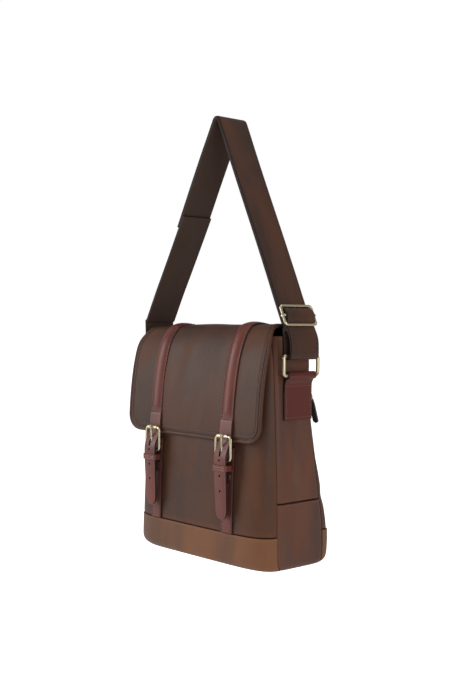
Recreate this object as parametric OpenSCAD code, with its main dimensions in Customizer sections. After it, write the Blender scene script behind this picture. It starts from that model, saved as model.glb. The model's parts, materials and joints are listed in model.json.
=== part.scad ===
// Leather satchel bag with a flap, two buckle closures and an adjustable shoulder strap.
// Millimetres, +Z up. The bag hangs from its strap: the origin is the underside of the strap's crest.

/* [Body] */
// Height from the base to the mouth
body_h = 271; // [255:1:285]
// Half width at mid depth, low on the body
base_half_w = 123.5; // [118:0.5:126]
// Half width at mid depth, at the mouth
mouth_half_w = 118.5; // [116:0.5:119]
// How far the filled front stands forward of the middle, low down
front_low = 61; // [56:1:63]
// How far the front stands forward at the mouth
front_top = 38.5; // [37:0.5:39]
// How far the filled back stands behind the middle, low down
back_low = 61; // [56:1:66]
// How far the back stands behind the middle at the mouth
back_top = 19; // [17:0.5:20]
// Thickness of the body leather
leather_t = 2.2; // [1.6:0.1:2.4]
// Height of the band round the foot of the front
band_h = 40; // [30:1:50]
// Height of the foot piece of each gusset
foot_h = 78; // [60:1:95]
// Radius that rounds the bottom edge
bottom_r = 14; // [8:1:18]

/* [Flap] */
// Half width of the hanging part of the flap
flap_half_w = 118; // [112:0.5:118.5]
// Half width of the flap where it crosses the mouth
flap_top_half_w = 110; // [104:0.5:110.5]
// Height of the flap's lower edge above the base
flap_edge_z = 148; // [140:1:152]
// Thickness of the flap with its lining
flap_t = 3.2; // [2.6:0.1:3.4]
// Width of the binding round the flap
binding_w = 8; // [3:0.5:9]
// Corner radius of the flap
flap_corner_r = 20; // [10:1:30]

/* [Closures] */
// Distance of each closure from the middle
closure_x = 65.5; // [55:0.5:75]
// Width of the closure straps
closure_w = 20.5; // [16:0.5:22]
// Outer width of the buckle frame
buckle_w = 29; // [27:0.5:32]
// Radius of the buckle's wire
buckle_wire_r = 1.6; // [1.3:0.1:1.7]

/* [Shoulder strap] */
// Width of the shoulder strap
strap_w = 46; // [40:1:47]
// Thickness of the shoulder strap
strap_t = 4.2; // [3:0.1:4.4]
// Height of the strap's crest above the base, on its centre line
crest_z = 535.7; // [500:1:560]
// Distance of the rings' planes from the middle
ring_x = 127.3; // [127:0.1:130]
// Height of the rings' centres above the base
ring_z = 237; // [235:1:239]
// Outer width of the rings
ring_w = 60.5; // [56:0.5:64]
// Outer height of the rings
ring_h = 27; // [25:0.5:28]
// Radius of the rings' wire
ring_wire_r = 2.2; // [1.8:0.1:2.3]
// Outer width of the slider
slider_w = 53.7; // [51:0.1:58]
// Outer height of the slider
slider_h = 27; // [25:0.5:29]
// Radius of the slider's wire
slider_wire_r = 1.6; // [1.3:0.1:1.8]

/* [Hidden] */

$fn = 48;
LEFT = -1;
RIGHT = 1;
gap = 0.3;
seam_gap = 0.12; // degrees left at each side seam
front_seam_y = 37;
back_seam_y = 20;
front_fullness = 3;
side_margin = 0.4;

brown = "#4a3226";
tan_brown = "#5f4026";
oxblood = "#4d221c";
brass = "#d8c795";
black = "#1c1a1a";

strap_y = -5;
crest_x = 1.5;
crest_r = 5;
leg_right_slope = 24.65;
leg_left_slope = 27.6;
crest_c = [crest_x, crest_z - crest_r];
crest_under_z = crest_z - strap_t / 2;

// ---------------------------------------------------------------- filled body
// The body is a stack of rounded sections. Each is a superellipse, fuller low down.

function fade(z, mid, power) = 1 / (1 + pow(max(z, 0) / mid, power));
function rounding(z) = z >= bottom_r ? 0 : bottom_r - sqrt(pow(bottom_r, 2) - pow(bottom_r - max(z, 0), 2));
function half_w(z) =
    mouth_half_w - side_margin + (base_half_w - mouth_half_w + side_margin) * fade(z, 190, 3) - rounding(z);
function front_d(z) =
    front_top + (front_low - front_top) * (1 - pow(max(z, 0) / body_h, front_fullness)) - rounding(z);
function back_d(z) = back_top + (back_low - back_top) * fade(z, 130, 3.2) - rounding(z);
function squareness(z) = 6 + 6 * pow(max(z, 0) / body_h, 6);
function depth(side, z) = side < 0 ? front_d(z) : back_d(z);

// Distance from the middle to the surface along the direction angle, on a skin set out by off.
function radius_at(angle, z, off) =
    pow(pow(abs(cos(angle)) / (half_w(z) + off), squareness(z))
        + pow(abs(sin(angle)) / (depth(sin(angle), z) + off), squareness(z)), -1 / squareness(z));
function skin_point(angle, z, off) =
    [radius_at(angle, z, off) * cos(angle), radius_at(angle, z, off) * sin(angle), z];

// Depth of the front or back surface at x, and width of the side surface at y.
function face_y(side, x, z, off) =
    side * (depth(side, z) + off)
    * pow(1 - pow(abs(x) / (half_w(z) + off), squareness(z)), 1 / squareness(z));
function side_x(y, z, off) =
    (half_w(z) + off) * pow(1 - pow(abs(y) / (depth(y, z) + off), squareness(z)), 1 / squareness(z));

// Angles of the side seams, measured from +X, at height z.
function front_seam(z) = -atan2(front_seam_y + 4 * pow(z / body_h, 2) - rounding(z), half_w(z));
function back_seam(z) = atan2(19 + back_seam_y * fade(z, 125, 3.2) - rounding(z), half_w(z));

// Closed slab between two matching grids of points.
module slab(outer, inner) {
    rows = len(outer);
    cols = len(outer[0]);
    count = rows * cols;
    points = [for (grid = [outer, inner]) for (row = grid) for (p = row) p];
    quads = concat(
        [for (r = [0 : rows - 2]) for (c = [0 : cols - 2])
            [r * cols + c, (r + 1) * cols + c, (r + 1) * cols + c + 1, r * cols + c + 1]],
        [for (r = [0 : rows - 2]) for (c = [0 : cols - 2])
            [count + r * cols + c, count + r * cols + c + 1,
             count + (r + 1) * cols + c + 1, count + (r + 1) * cols + c]],
        [for (c = [0 : cols - 2]) [c, c + 1, count + c + 1, count + c]],
        [for (c = [0 : cols - 2]) let (t = (rows - 1) * cols + c) [t + 1, t, count + t, count + t + 1]],
        [for (r = [0 : rows - 2]) let (a = r * cols, b = a + cols) [b, a, count + a, count + b]],
        [for (r = [0 : rows - 2]) let (a = r * cols + cols - 1, b = a + cols)
            [a, b, count + b, count + a]]);
    polyhedron(points, [for (q = quads) for (t = [[q[0], q[1], q[2]], [q[0], q[2], q[3]]]) t]);
}

// Piece of the skin between heights z0 and z1. side picks the wall: "front", "back", "right", "left".
function wall_start(side, z) =
    side == "front" ? -180 - front_seam(z) : side == "right" ? front_seam(z)
    : side == "back" ? back_seam(z) : 180 - back_seam(z);
function wall_end(side, z) =
    side == "front" ? front_seam(z) : side == "right" ? back_seam(z)
    : side == "back" ? 180 - back_seam(z) : 180 - front_seam(z);
function wall_grid(side, z0, z1, off, cols, rows) =
    [for (r = [0 : rows]) let (z = z0 + (z1 - z0) * r / rows)
        [for (c = [0 : cols]) skin_point(
            wall_start(side, z) + seam_gap
            + (wall_end(side, z) - wall_start(side, z) - 2 * seam_gap) * c / cols, z, off)]];
module wall(side, z0, z1, off_in, off_out, cols, rows)
    slab(wall_grid(side, z0, z1, off_out, cols, rows), wall_grid(side, z0, z1, off_in, cols, rows));

// Strip lying on the front (side -1) or back (side 1), between x0 and x1.
module face_strip(side, x0, x1, z0, z1, off_in, off_out, cols, rows) {
    function grid(off) = [for (r = [0 : rows]) let (z = z0 + (z1 - z0) * r / rows)
        [for (c = [0 : cols]) let (x = side < 0 ? x0 + (x1 - x0) * c / cols : x1 - (x1 - x0) * c / cols)
            [x, face_y(side, x, z, off), z]]];
    slab(grid(off_out), grid(off_in));
}

// Patch lying on a gusset, between y0 and y1.
module side_strip(side, y0, y1, z0, z1, off_in, off_out, cols, rows) {
    function grid(off) = [for (r = [0 : rows]) let (z = z0 + (z1 - z0) * r / rows)
        [for (c = [0 : cols]) let (y = side > 0 ? y0 + (y1 - y0) * c / cols : y1 - (y1 - y0) * c / cols)
            [side * side_x(y, z, off), y, z]]];
    slab(grid(off_out), grid(off_in));
}

panel_foot = 2.8;
fine_rows = 14;
module front_panel() color(brown) wall("front", band_h + gap, body_h, -leather_t, 0, 34, fine_rows);
module front_band() color(tan_brown) wall("front", panel_foot, band_h, -leather_t, 0.6, 34, 8);
module back_panel() color(brown) wall("back", band_h + gap, body_h, -leather_t, 0, 30, fine_rows);
module back_band() color(tan_brown) wall("back", panel_foot, band_h, -leather_t, 0.6, 30, 8);
module gusset_left() color(brown) wall("left", foot_h + gap, body_h, -leather_t, 0, 8, 10);
module gusset_right() color(brown) wall("right", foot_h + gap, body_h, -leather_t, 0, 8, 10);
module gusset_foot_left() color(brown) wall("left", panel_foot, foot_h, -leather_t, 0.4, 8, 10);
module gusset_foot_right() color(brown) wall("right", panel_foot, foot_h, -leather_t, 0.4, 8, 10);

// Flat plate with the outline of the body's section at height z, set in by inset.
module section_plate(z, inset, low, high)
    translate([0, 0, low]) linear_extrude(high - low)
        polygon([for (i = [0 : 71]) let (p = skin_point(i * 5, z, -inset)) [p[0], p[1]]]);
module base_panel() color(tan_brown) section_plate(2.4, 0, 0, 2.4);
board_low = 2.7;
board_t = 2;
module base_board() color(black)
    section_plate(board_low, leather_t + 0.8, board_low, board_low + board_t);

// Fabric lining: a closed ring of wall and its own floor.
lining_out = -3.7;
lining_t = 0.8;
lining_foot = 12;
lining_cols = 48;
lining_rows = 10;
function lining_grid(off) =
    [for (r = [0 : lining_rows]) let (z = lining_foot + (body_h - 2 - lining_foot) * r / lining_rows)
        [for (c = [0 : lining_cols - 1]) skin_point(360 * c / lining_cols, z, off)]];
module lining_wall() {
    cols = lining_cols;
    count = cols * (lining_rows + 1);
    top = lining_rows * cols;
    points = [for (off = [lining_out, lining_out - lining_t]) for (row = lining_grid(off)) for (p = row) p];
    cells = [for (r = [0 : lining_rows - 1]) for (c = [0 : cols - 1])
        [r * cols + c, r * cols + (c + 1) % cols, (r + 1) * cols + (c + 1) % cols, (r + 1) * cols + c]];
    quads = concat(
        [for (q = cells) [q[0], q[3], q[2], q[1]]],
        [for (q = cells) [count + q[0], count + q[1], count + q[2], count + q[3]]],
        [for (c = [0 : cols - 1]) let (d = (c + 1) % cols) [c, d, count + d, count + c]],
        [for (c = [0 : cols - 1]) let (d = (c + 1) % cols)
            [top + d, top + c, count + top + c, count + top + d]]);
    polyhedron(points, [for (q = quads) for (t = [[q[0], q[1], q[2]], [q[0], q[2], q[3]]]) t]);
}
module lining() color(black) {
    lining_wall();
    section_plate(lining_foot, -lining_out, lining_foot - lining_t, lining_foot);
}

// Zipped pocket on the back: the tape, the pouch behind it, the slider and its puller.
zip_z = 198;
zip_half = 111;
zip_tape_w = 15;
module rear_zip_tape() color(black)
    face_strip(1, -zip_half, zip_half, zip_z - zip_tape_w / 2, zip_z + zip_tape_w / 2, 0.1, 1, 24, 3);
pouch_half = 84;
pouch_low = 96;
pouch_skin = [-3.45, -2.95];
module rear_pocket_bag() color(black)
    face_strip(1, -pouch_half, pouch_half, pouch_low, zip_z + 4, pouch_skin[0], pouch_skin[1], 20, 14);
zip_slider_x = 106;
zip_slider_y = face_y(1, 0, zip_z, 1) + 0.4;
pivot_off = 5.5;
puller_l = 34;
puller_tilt = 18;
module zip_slider() color(brass) translate([zip_slider_x, zip_slider_y, zip_z]) {
    translate([-5, 0, -3.5]) cube([10, 2.6, 7]);
    translate([-1.2, 2.6, -1.5]) cube([2.4, 1.2, 3]);
    difference() {
        translate([0, pivot_off, 0]) rotate([0, 90, 0]) cylinder(r = 2.2, h = 2.4, center = true);
        translate([0, pivot_off, 0]) rotate([0, 90, 0]) cylinder(r = 1.2, h = 4, center = true);
    }
}
module zip_puller() color(black)
translate([zip_slider_x, zip_slider_y + pivot_off, zip_z]) rotate([puller_tilt, 0, 0]) {
    rotate([0, 90, 0]) cylinder(r = 0.9, h = 7, center = true);
    for (s = [-1, 1]) translate([s * 2.9 - 0.6, -0.9, -7]) cube([1.2, 1.8, 7]);
    translate([-4, -1, 4 - puller_l]) cube([8, 2, puller_l - 10]);
    translate([0, 1, 4 - puller_l]) rotate([90, 0, 0]) cylinder(r = 4, h = 2);
}

// Straps sewn down the front, with the sockets of the magnetic snaps.
front_strap_low = 42;
front_strap_high = 141;
front_strap_t = 2.2;
module front_strap(side) color(oxblood)
    face_strip(-1, side * closure_x - closure_w / 2 + 1, side * closure_x + closure_w / 2 - 1,
        front_strap_low, front_strap_high, 0.1, 0.1 + front_strap_t, 4, 10);
module front_strap_left() front_strap(LEFT);
module front_strap_right() front_strap(RIGHT);
// Leather patches that hold the strap tabs to the gussets.
patch_w = 44;
patch_low = 174;
patch_high = 218;
patch_t = 2.2;
module tab_patch(side) color(oxblood)
    side_strip(side, strap_y - patch_w / 2, strap_y + patch_w / 2 - 1.5, patch_low, patch_high,
        0.1, 0.1 + patch_t, 6, 4);
module tab_patch_left() tab_patch(LEFT);
module tab_patch_right() tab_patch(RIGHT);

// ---------------------------------------------------------------- flap
// The flap's middle line, in the YZ plane: down the front, over the mouth and onto the back.
fold_p = [-34, 279.5];
flap_edge_y = -62;
flap_front_path = [[flap_edge_y, flap_edge_z], [-61, 200], [-55, 261], fold_p];
lift_p = [27.2, 268];
flap_top_path = [fold_p, [-17, 290], [14.5, 287], lift_p];

function bezier(p, t) =
    pow(1 - t, 3) * p[0] + 3 * t * pow(1 - t, 2) * p[1] + 3 * t * t * (1 - t) * p[2] + pow(t, 3) * p[3];
function unit(v) = v / norm(v);
function bezier_normal(p, t) =
    let (d = unit(3 * pow(1 - t, 2) * (p[1] - p[0]) + 6 * t * (1 - t) * (p[2] - p[1])
        + 3 * t * t * (p[3] - p[2]))) [-d[1], d[0]];

// Curved sheet that follows a path from t0 to t1, from off_in to off_out of its middle line.
path_steps = 16;
module path_sheet(p, t0, t1, off_in, off_out, half) {
    function edge(off) = [for (i = [0 : path_steps]) let (t = t0 + (t1 - t0) * i / path_steps)
        bezier(p, t) + off * bezier_normal(p, t)];
    near = edge(off_in);
    far = edge(off_out);
    rotate([90, 0, 90]) linear_extrude(2 * half, center = true)
        polygon(concat(near, [for (i = [path_steps : -1 : 0]) far[i]]));
}

// Outline of the hanging flap seen from the front, set in by inset.
flap_shoulder_z = 250;
module flap_outline(inset) {
    r = flap_corner_r - inset;
    half = flap_half_w - inset;
    low = flap_edge_z + inset;
    for (s = [-1, 1]) translate([s * (half - r), low + r]) circle(r = r);
    translate([-half + r, low]) square([2 * (half - r), r + 1]);
    translate([-half, low + r]) square([2 * half, flap_shoulder_z - low - r]);
    polygon([[-half, flap_shoulder_z - 0.01], [half, flap_shoulder_z - 0.01],
        [flap_top_half_w - inset, 284], [-flap_top_half_w + inset, 284]]);
}
module flap_cut(inset)
    rotate([90, 0, 0]) linear_extrude(100) flap_outline(inset);
front_t0 = 0;
front_t1 = 0.988;
top_t0 = 0.008;
top_t1 = 0.985;
lining_share = 1;
binding_rise = 0.3;
module flap_panel() color(brown) intersection() {
    path_sheet(flap_front_path, front_t0, front_t1, -flap_t / 2 + lining_share, flap_t / 2, flap_half_w);
    flap_cut(binding_w);
}
module flap_lining() color(tan_brown) intersection() {
    path_sheet(flap_front_path, front_t0, front_t1, -flap_t / 2, -flap_t / 2 + lining_share - 0.05,
        flap_half_w);
    flap_cut(binding_w);
}
module flap_binding() color(tan_brown) difference() {
    intersection() {
        path_sheet(flap_front_path, front_t0, front_t1, -flap_t / 2 - binding_rise,
            flap_t / 2 + binding_rise, flap_half_w);
        flap_cut(0);
    }
    flap_cut(binding_w - 0.1);
}
module flap_top_panel() color(brown)
    path_sheet(flap_top_path, top_t0, top_t1, -flap_t / 2 + lining_share, flap_t / 2,
        flap_top_half_w - binding_w);
module flap_top_lining() color(tan_brown)
    path_sheet(flap_top_path, top_t0, top_t1, -flap_t / 2, -flap_t / 2 + lining_share - 0.05,
        flap_top_half_w - binding_w);
module flap_top_binding() color(tan_brown) difference() {
    path_sheet(flap_top_path, top_t0, top_t1, -flap_t / 2 - binding_rise, flap_t / 2 + binding_rise,
        flap_top_half_w);
    cube([2 * (flap_top_half_w - binding_w) + 0.2, 200, 800], center = true);
}
// Yoke sewn to the back, under the flap's hinge line.
yoke_low = 232;
module flap_yoke() color(brown)
    face_strip(1, -flap_top_half_w + 6, flap_top_half_w - 6, yoke_low, lift_p[1] - 2.5, 0.1, 2.4, 16, 4);

// Raised straps that run over the flap.
strap_rise = 2.4;
module over_strap(path, t0, t1, side) color(oxblood)
    translate([side * closure_x, 0, 0])
        path_sheet(path, t0, t1, flap_t / 2 + 0.1, flap_t / 2 + 0.1 + strap_rise, closure_w / 2);
strap_t0 = 0.0835;
module flap_strap_left() over_strap(flap_front_path, strap_t0, front_t1, LEFT);
module flap_strap_right() over_strap(flap_front_path, strap_t0, front_t1, RIGHT);
module top_strap_left() over_strap(flap_top_path, top_t0 + 0.02, top_t1, LEFT);
module top_strap_right() over_strap(flap_top_path, top_t0 + 0.02, top_t1, RIGHT);

// ---------------------------------------------------------------- closures
// The buckle stands upright off the flap; the snap fills the space between its tab and the front.
snap_z = 106.5;
socket_t = 1.1;
snap_r = 6;
tab_t = 1.4;
tab_bore = buckle_wire_r + 0.1;
tongue_t = 2.2;
hinge_z = 126;
roller_z = 154;
roller_r = 2.4;
prong_r = 1.2;
slot_half = 2.6;
closure_top_z = 160.2;

strap_face_y = face_y(-1, closure_x, snap_z, 0.1 + front_strap_t);
flap_face_y = flap_edge_y - flap_t / 2 - binding_rise;
tongue_top_y = flap_face_y - 0.3 - tongue_t / 2;
roller_y = tongue_top_y - tongue_t / 2 - 0.2 - roller_r;
hinge_y = roller_y;
tongue_y = hinge_y - tab_bore - tab_t - 0.3 - tongue_t / 2;
tab_back_y = hinge_y + tab_bore + tab_t;
socket_y = strap_face_y - 0.35;
stud_y = socket_y - socket_t - 0.2;
stud_t = stud_y - tab_back_y - 0.1;
prong_tilt = atan2(hinge_y - (roller_y - roller_r - prong_r - 0.15), roller_z - hinge_z);

module snap_disc(side, y, t) color(brass)
    translate([side * closure_x, y, snap_z]) rotate([90, 0, 0]) difference() {
        cylinder(r = snap_r, h = t);
        translate([0, 0, -1]) cylinder(r = 1.5, h = t + 2);
    }
module snap_socket_left() snap_disc(LEFT, socket_y, socket_t);
module snap_socket_right() snap_disc(RIGHT, socket_y, socket_t);
module snap_stud_left() snap_disc(LEFT, stud_y, stud_t);
module snap_stud_right() snap_disc(RIGHT, stud_y, stud_t);

// Strip of thickness t that follows the corners of a line in the YZ plane, extruded to width w.
module band(line, t, w)
    rotate([90, 0, 90]) linear_extrude(w, center = true)
        for (i = [0 : len(line) - 2]) let (d = line[i + 1] - line[i]) {
            translate(line[i]) rotate(atan2(d[1], d[0])) translate([0, -t / 2]) square([norm(d), t]);
            if (i > 0) translate(line[i]) circle(r = t / 2);
        }

tongue_tip_z = 57;
tongue_path = [[tongue_top_y, closure_top_z], [tongue_top_y, 151], [tongue_top_y - 1.6, 146],
    [tongue_y + 1.1, 135.5], [tongue_y, 130], [tongue_y, 119], [tongue_y + 1.5, 95],
    [tongue_y + 2.5, tongue_tip_z]];
tip_r = 13;
hole_r = 1.5;
prong_slot = [132.2, 141.2];
punched_z = [126.5, 108.5, 90.5];
module across(z, r) translate([0, -50, z]) rotate([90, 0, 0]) cylinder(r = r, h = 40);
module tongue(side) color(oxblood) translate([side * closure_x, 0, 0]) difference() {
    band(tongue_path, tongue_t, closure_w);
    // rounded point at the tip
    rotate([90, 0, 0]) linear_extrude(100) difference() {
        translate([-closure_w, tongue_tip_z - 2]) square([2 * closure_w, tip_r + 2]);
        translate([0, tongue_tip_z + tip_r]) circle(r = tip_r);
    }
    // slot for the prong, then the punched holes
    for (z = prong_slot) across(z, 2);
    translate([-2, -90, prong_slot[0]]) cube([4, 40, prong_slot[1] - prong_slot[0]]);
    for (z = punched_z) across(z, hole_r);
}
module tongue_left() tongue(LEFT);
module tongue_right() tongue(RIGHT);

// Tab that wraps the straight part of the hinge bar behind the tongue and carries the snap's stud.
under_tab_low = 99;
buckle_corner = 4.5;
under_tab_w = buckle_w - 2 * (buckle_wire_r + buckle_corner) - 2 * gap;
module along_x(p, r, w)
    translate([0, p[0], p[1]]) rotate([0, 90, 0]) cylinder(r = r, h = w, center = true);
module under_tab(side) color(oxblood) translate([side * closure_x, 0, 0]) difference() {
    union() {
        along_x([hinge_y, hinge_z], tab_bore + tab_t, under_tab_w);
        translate([-under_tab_w / 2, tab_back_y - tab_t, under_tab_low])
            cube([under_tab_w, tab_t, hinge_z - under_tab_low]);
    }
    along_x([hinge_y, hinge_z], tab_bore, closure_w + 2);
    translate([-slot_half, -80, hinge_z - 5]) cube([2 * slot_half, 30, 20]);
}
module under_tab_left() under_tab(LEFT);
module under_tab_right() under_tab(RIGHT);

keeper_z = 117.5;
keeper_h = 7;
keeper_wall = 1;
module keeper(side) {
    front = tongue_y - tongue_t / 2 - 0.4;
    back = tab_back_y + 0.2;
    color(oxblood) translate([side * closure_x, (front + back) / 2, keeper_z]) difference() {
        cube([closure_w + 3, back - front + 2 * keeper_wall, keeper_h], center = true);
        cube([closure_w + 1, back - front, keeper_h + 2], center = true);
    }
}
module keeper_left() keeper(LEFT);
module keeper_right() keeper(RIGHT);

// Rounded rectangular ring of round wire in the XZ plane, w by h over the outside.
module wire_frame(w, h, corner, r) {
    a = w / 2 - r - corner;
    b = h / 2 - r - corner;
    for (s = [-1, 1]) {
        translate([0, 0, s * (b + corner)]) rotate([0, 90, 0]) cylinder(r = r, h = 2 * a, center = true);
        translate([s * (a + corner), 0, 0]) cylinder(r = r, h = 2 * b, center = true);
        for (t = [-1, 1]) translate([s * a, 0, t * b]) mirror([s > 0 ? 0 : 1, 0, 0])
            mirror([0, 0, t > 0 ? 0 : 1]) rotate([90, 0, 0])
                rotate_extrude(angle = 90) translate([corner, 0]) circle(r = r);
    }
}
module buckle_frame(side) color(brass)
    translate([side * closure_x, hinge_y, (hinge_z + roller_z) / 2])
        wire_frame(buckle_w, roller_z - hinge_z + 2 * buckle_wire_r, buckle_corner, buckle_wire_r);
module buckle_frame_left() buckle_frame(LEFT);
module buckle_frame_right() buckle_frame(RIGHT);

roller_l = 17;
module roller(side) color(brass) translate([side * closure_x, 0, 0]) difference() {
    along_x([roller_y, roller_z], roller_r, roller_l);
    along_x([roller_y, roller_z], buckle_wire_r + 0.05, roller_l + 2);
}
module roller_left() roller(LEFT);
module roller_right() roller(RIGHT);

prong_l = 31.5;
module prong(side) color(brass) translate([side * closure_x, 0, 0]) difference() {
    union() {
        along_x([hinge_y, hinge_z], tab_bore + 1.2, 4);
        translate([0, hinge_y, hinge_z]) rotate([prong_tilt, 0, 0]) cylinder(r = prong_r, h = prong_l);
    }
    along_x([hinge_y, hinge_z], buckle_wire_r + 0.05, 6);
}
module prong_left() prong(LEFT);
module prong_right() prong(RIGHT);

// ---------------------------------------------------------------- shoulder strap and its hardware
loop_t = 2.4;
loop_half = 4.4;
loop_top_z = 262;
ring_top_bar_z = ring_z + ring_h / 2 - ring_wire_r;
ring_low_bar_z = ring_z - ring_h / 2 + ring_wire_r;
loop_low_z = ring_top_bar_z - ring_wire_r - 0.2 - loop_t / 2;
right_kink_z = 279;
left_kink_z = 286;
splice_z = 419;

function leg_top(side, slope) = crest_c + crest_r * [side * cos(slope), sin(slope)];
function leg_at(side, slope, z) =
    let (top = leg_top(side, slope)) [top[0] + side * (top[1] - z) * tan(slope), z];
loop_out = ring_x + loop_half + loop_t / 2;
loop_in = ring_x - loop_half - loop_t / 2;
right_kink = leg_at(RIGHT, leg_right_slope, right_kink_z);
left_kink = leg_at(LEFT, leg_left_slope, left_kink_z);
splice = leg_at(LEFT, leg_left_slope, splice_z);

// Strap seen from the front: a strip of thickness t along a line in the XZ plane.
module ribbon(line, t, w)
    translate([0, strap_y, 0]) rotate([90, 0, 0]) linear_extrude(w, center = true)
        for (i = [0 : len(line) - 2]) let (d = line[i + 1] - line[i]) {
            translate(line[i]) rotate(atan2(d[1], d[0])) translate([0, -t / 2]) square([norm(d), t]);
            if (i > 0) translate(line[i]) circle(r = t / 2);
        }
// The long piece is one outline: down the left leg to the splice, over the crest, down the right leg.
crest_steps = 10;
function crest_arc(r) = [for (i = [0 : crest_steps])
    let (a = 180 - leg_left_slope - (180 - leg_left_slope - leg_right_slope) * i / crest_steps)
        crest_c + r * [cos(a), sin(a)]];
function beside(p, side, slope, off) = p + off * [side * cos(slope), sin(slope)];
function strap_edge(off) = concat(
    [beside(leg_at(LEFT, leg_left_slope, splice_z), LEFT, leg_left_slope, off)],
    crest_arc(crest_r + off),
    [beside(leg_at(RIGHT, leg_right_slope, right_kink_z), RIGHT, leg_right_slope, off)]);
module shoulder_strap() color(brown) {
    inner = strap_edge(-strap_t / 2);
    translate([0, strap_y, 0]) rotate([90, 0, 0]) linear_extrude(strap_w, center = true)
        polygon(concat(strap_edge(strap_t / 2), [for (i = [len(inner) - 1 : -1 : 0]) inner[i]]));
}
module strap_tail_left() color(brown) ribbon([splice - [0.15, 0.3], left_kink],
    strap_t, strap_w);
module strap_loop_right() color(brown) ribbon([right_kink - [0, 1.6], [loop_in, loop_top_z],
    [loop_in, loop_low_z], [loop_out, loop_low_z], [loop_out, loop_top_z + 6]], loop_t, strap_w);
module strap_loop_left() color(brown) ribbon([left_kink - [0.2, 1.8], [-loop_out, loop_top_z],
    [-loop_out, loop_low_z], [-loop_in, loop_low_z], [-loop_in, loop_top_z], [-loop_in - 3, loop_top_z + 12]],
    loop_t, strap_w);

module tab_loop(side) color(oxblood) translate([side * ring_x, strap_y, ring_low_bar_z])
    rotate([90, 0, 0]) difference() {
        cylinder(r = ring_wire_r + 0.1 + 2.2, h = strap_w, center = true);
        cylinder(r = ring_wire_r + 0.1, h = strap_w + 2, center = true);
    }
module tab_loop_left() tab_loop(LEFT);
module tab_loop_right() tab_loop(RIGHT);

ring_corner = 3.5;
module ring(side) color(brass) translate([side * ring_x, strap_y, ring_z]) rotate([0, 0, 90])
    wire_frame(ring_w, ring_h, ring_corner, ring_wire_r);
module ring_left() ring(LEFT);
module ring_right() ring(RIGHT);

// The slider stands outside the right leg and slides up along it.
slider_off = 6.3;
slider_z = 292.1;
slider_corner = 3.5;
module on_leg() {
    p = leg_at(RIGHT, leg_right_slope, slider_z);
    translate([p[0], strap_y, p[1]]) rotate([0, -leg_right_slope, 0]) children();
}
module slider_frame() color(brass) on_leg() translate([slider_off, 0, 0]) rotate([0, 0, 90])
    wire_frame(slider_w, slider_h, slider_corner, slider_wire_r);
module slider_center_bar() color(brass) on_leg() translate([slider_off, 0, 0])
    rotate([90, 0, 0]) cylinder(r = slider_wire_r, h = slider_w + 1.6, center = true);
hump_in = 11.6;
hump_t = 2.2;
hump_half = 10;
module slider_hump() color(brown) on_leg() intersection() {
    translate([slider_off + slider_wire_r + 0.1 - hump_in, 0, 0]) rotate([90, 0, 0]) difference() {
        cylinder(r = hump_in + hump_t, h = strap_w, center = true, $fn = 96);
        cylinder(r = hump_in, h = strap_w + 2, center = true, $fn = 96);
    }
    translate([strap_t / 2 + 0.3, -strap_w, -hump_half]) cube([20, 2 * strap_w, 2 * hump_half]);
}

// Everything is drawn with the base at zero, then lowered so that the crest's underside is the origin.
module hang() translate([-crest_x, -strap_y, -crest_under_z]) children();

hang() front_panel();
hang() front_band();
hang() back_panel();
hang() back_band();
hang() gusset_left();
hang() gusset_right();
hang() gusset_foot_left();
hang() gusset_foot_right();
hang() base_panel();
hang() base_board();
hang() lining();
hang() rear_pocket_bag();
hang() rear_zip_tape();
hang() zip_slider();
hang() zip_puller();
hang() front_strap_left();
hang() front_strap_right();
hang() snap_socket_left();
hang() snap_socket_right();
hang() tab_patch_left();
hang() tab_patch_right();
hang() flap_yoke();
hang() flap_top_panel();
hang() flap_top_lining();
hang() flap_top_binding();
hang() top_strap_left();
hang() top_strap_right();
hang() flap_panel();
hang() flap_lining();
hang() flap_binding();
hang() flap_strap_left();
hang() flap_strap_right();
hang() tongue_left();
hang() tongue_right();
hang() under_tab_left();
hang() under_tab_right();
hang() keeper_left();
hang() keeper_right();
hang() buckle_frame_left();
hang() buckle_frame_right();
hang() snap_stud_left();
hang() snap_stud_right();
hang() roller_left();
hang() roller_right();
hang() prong_left();
hang() prong_right();
hang() shoulder_strap();
hang() strap_tail_left();
hang() strap_loop_left();
hang() strap_loop_right();
hang() tab_loop_left();
hang() tab_loop_right();
hang() ring_left();
hang() ring_right();
hang() slider_frame();
hang() slider_center_bar();
hang() slider_hump();
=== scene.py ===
"""Leather satchel, hung by its shoulder strap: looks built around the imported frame.

Shapes are worked out in bag millimetres: X to the right, -Y out of the front, Z up from the base.
"""

import json
import math

import bmesh
import bpy
import numpy as np
from mathutils import Matrix, Vector, noise


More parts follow.
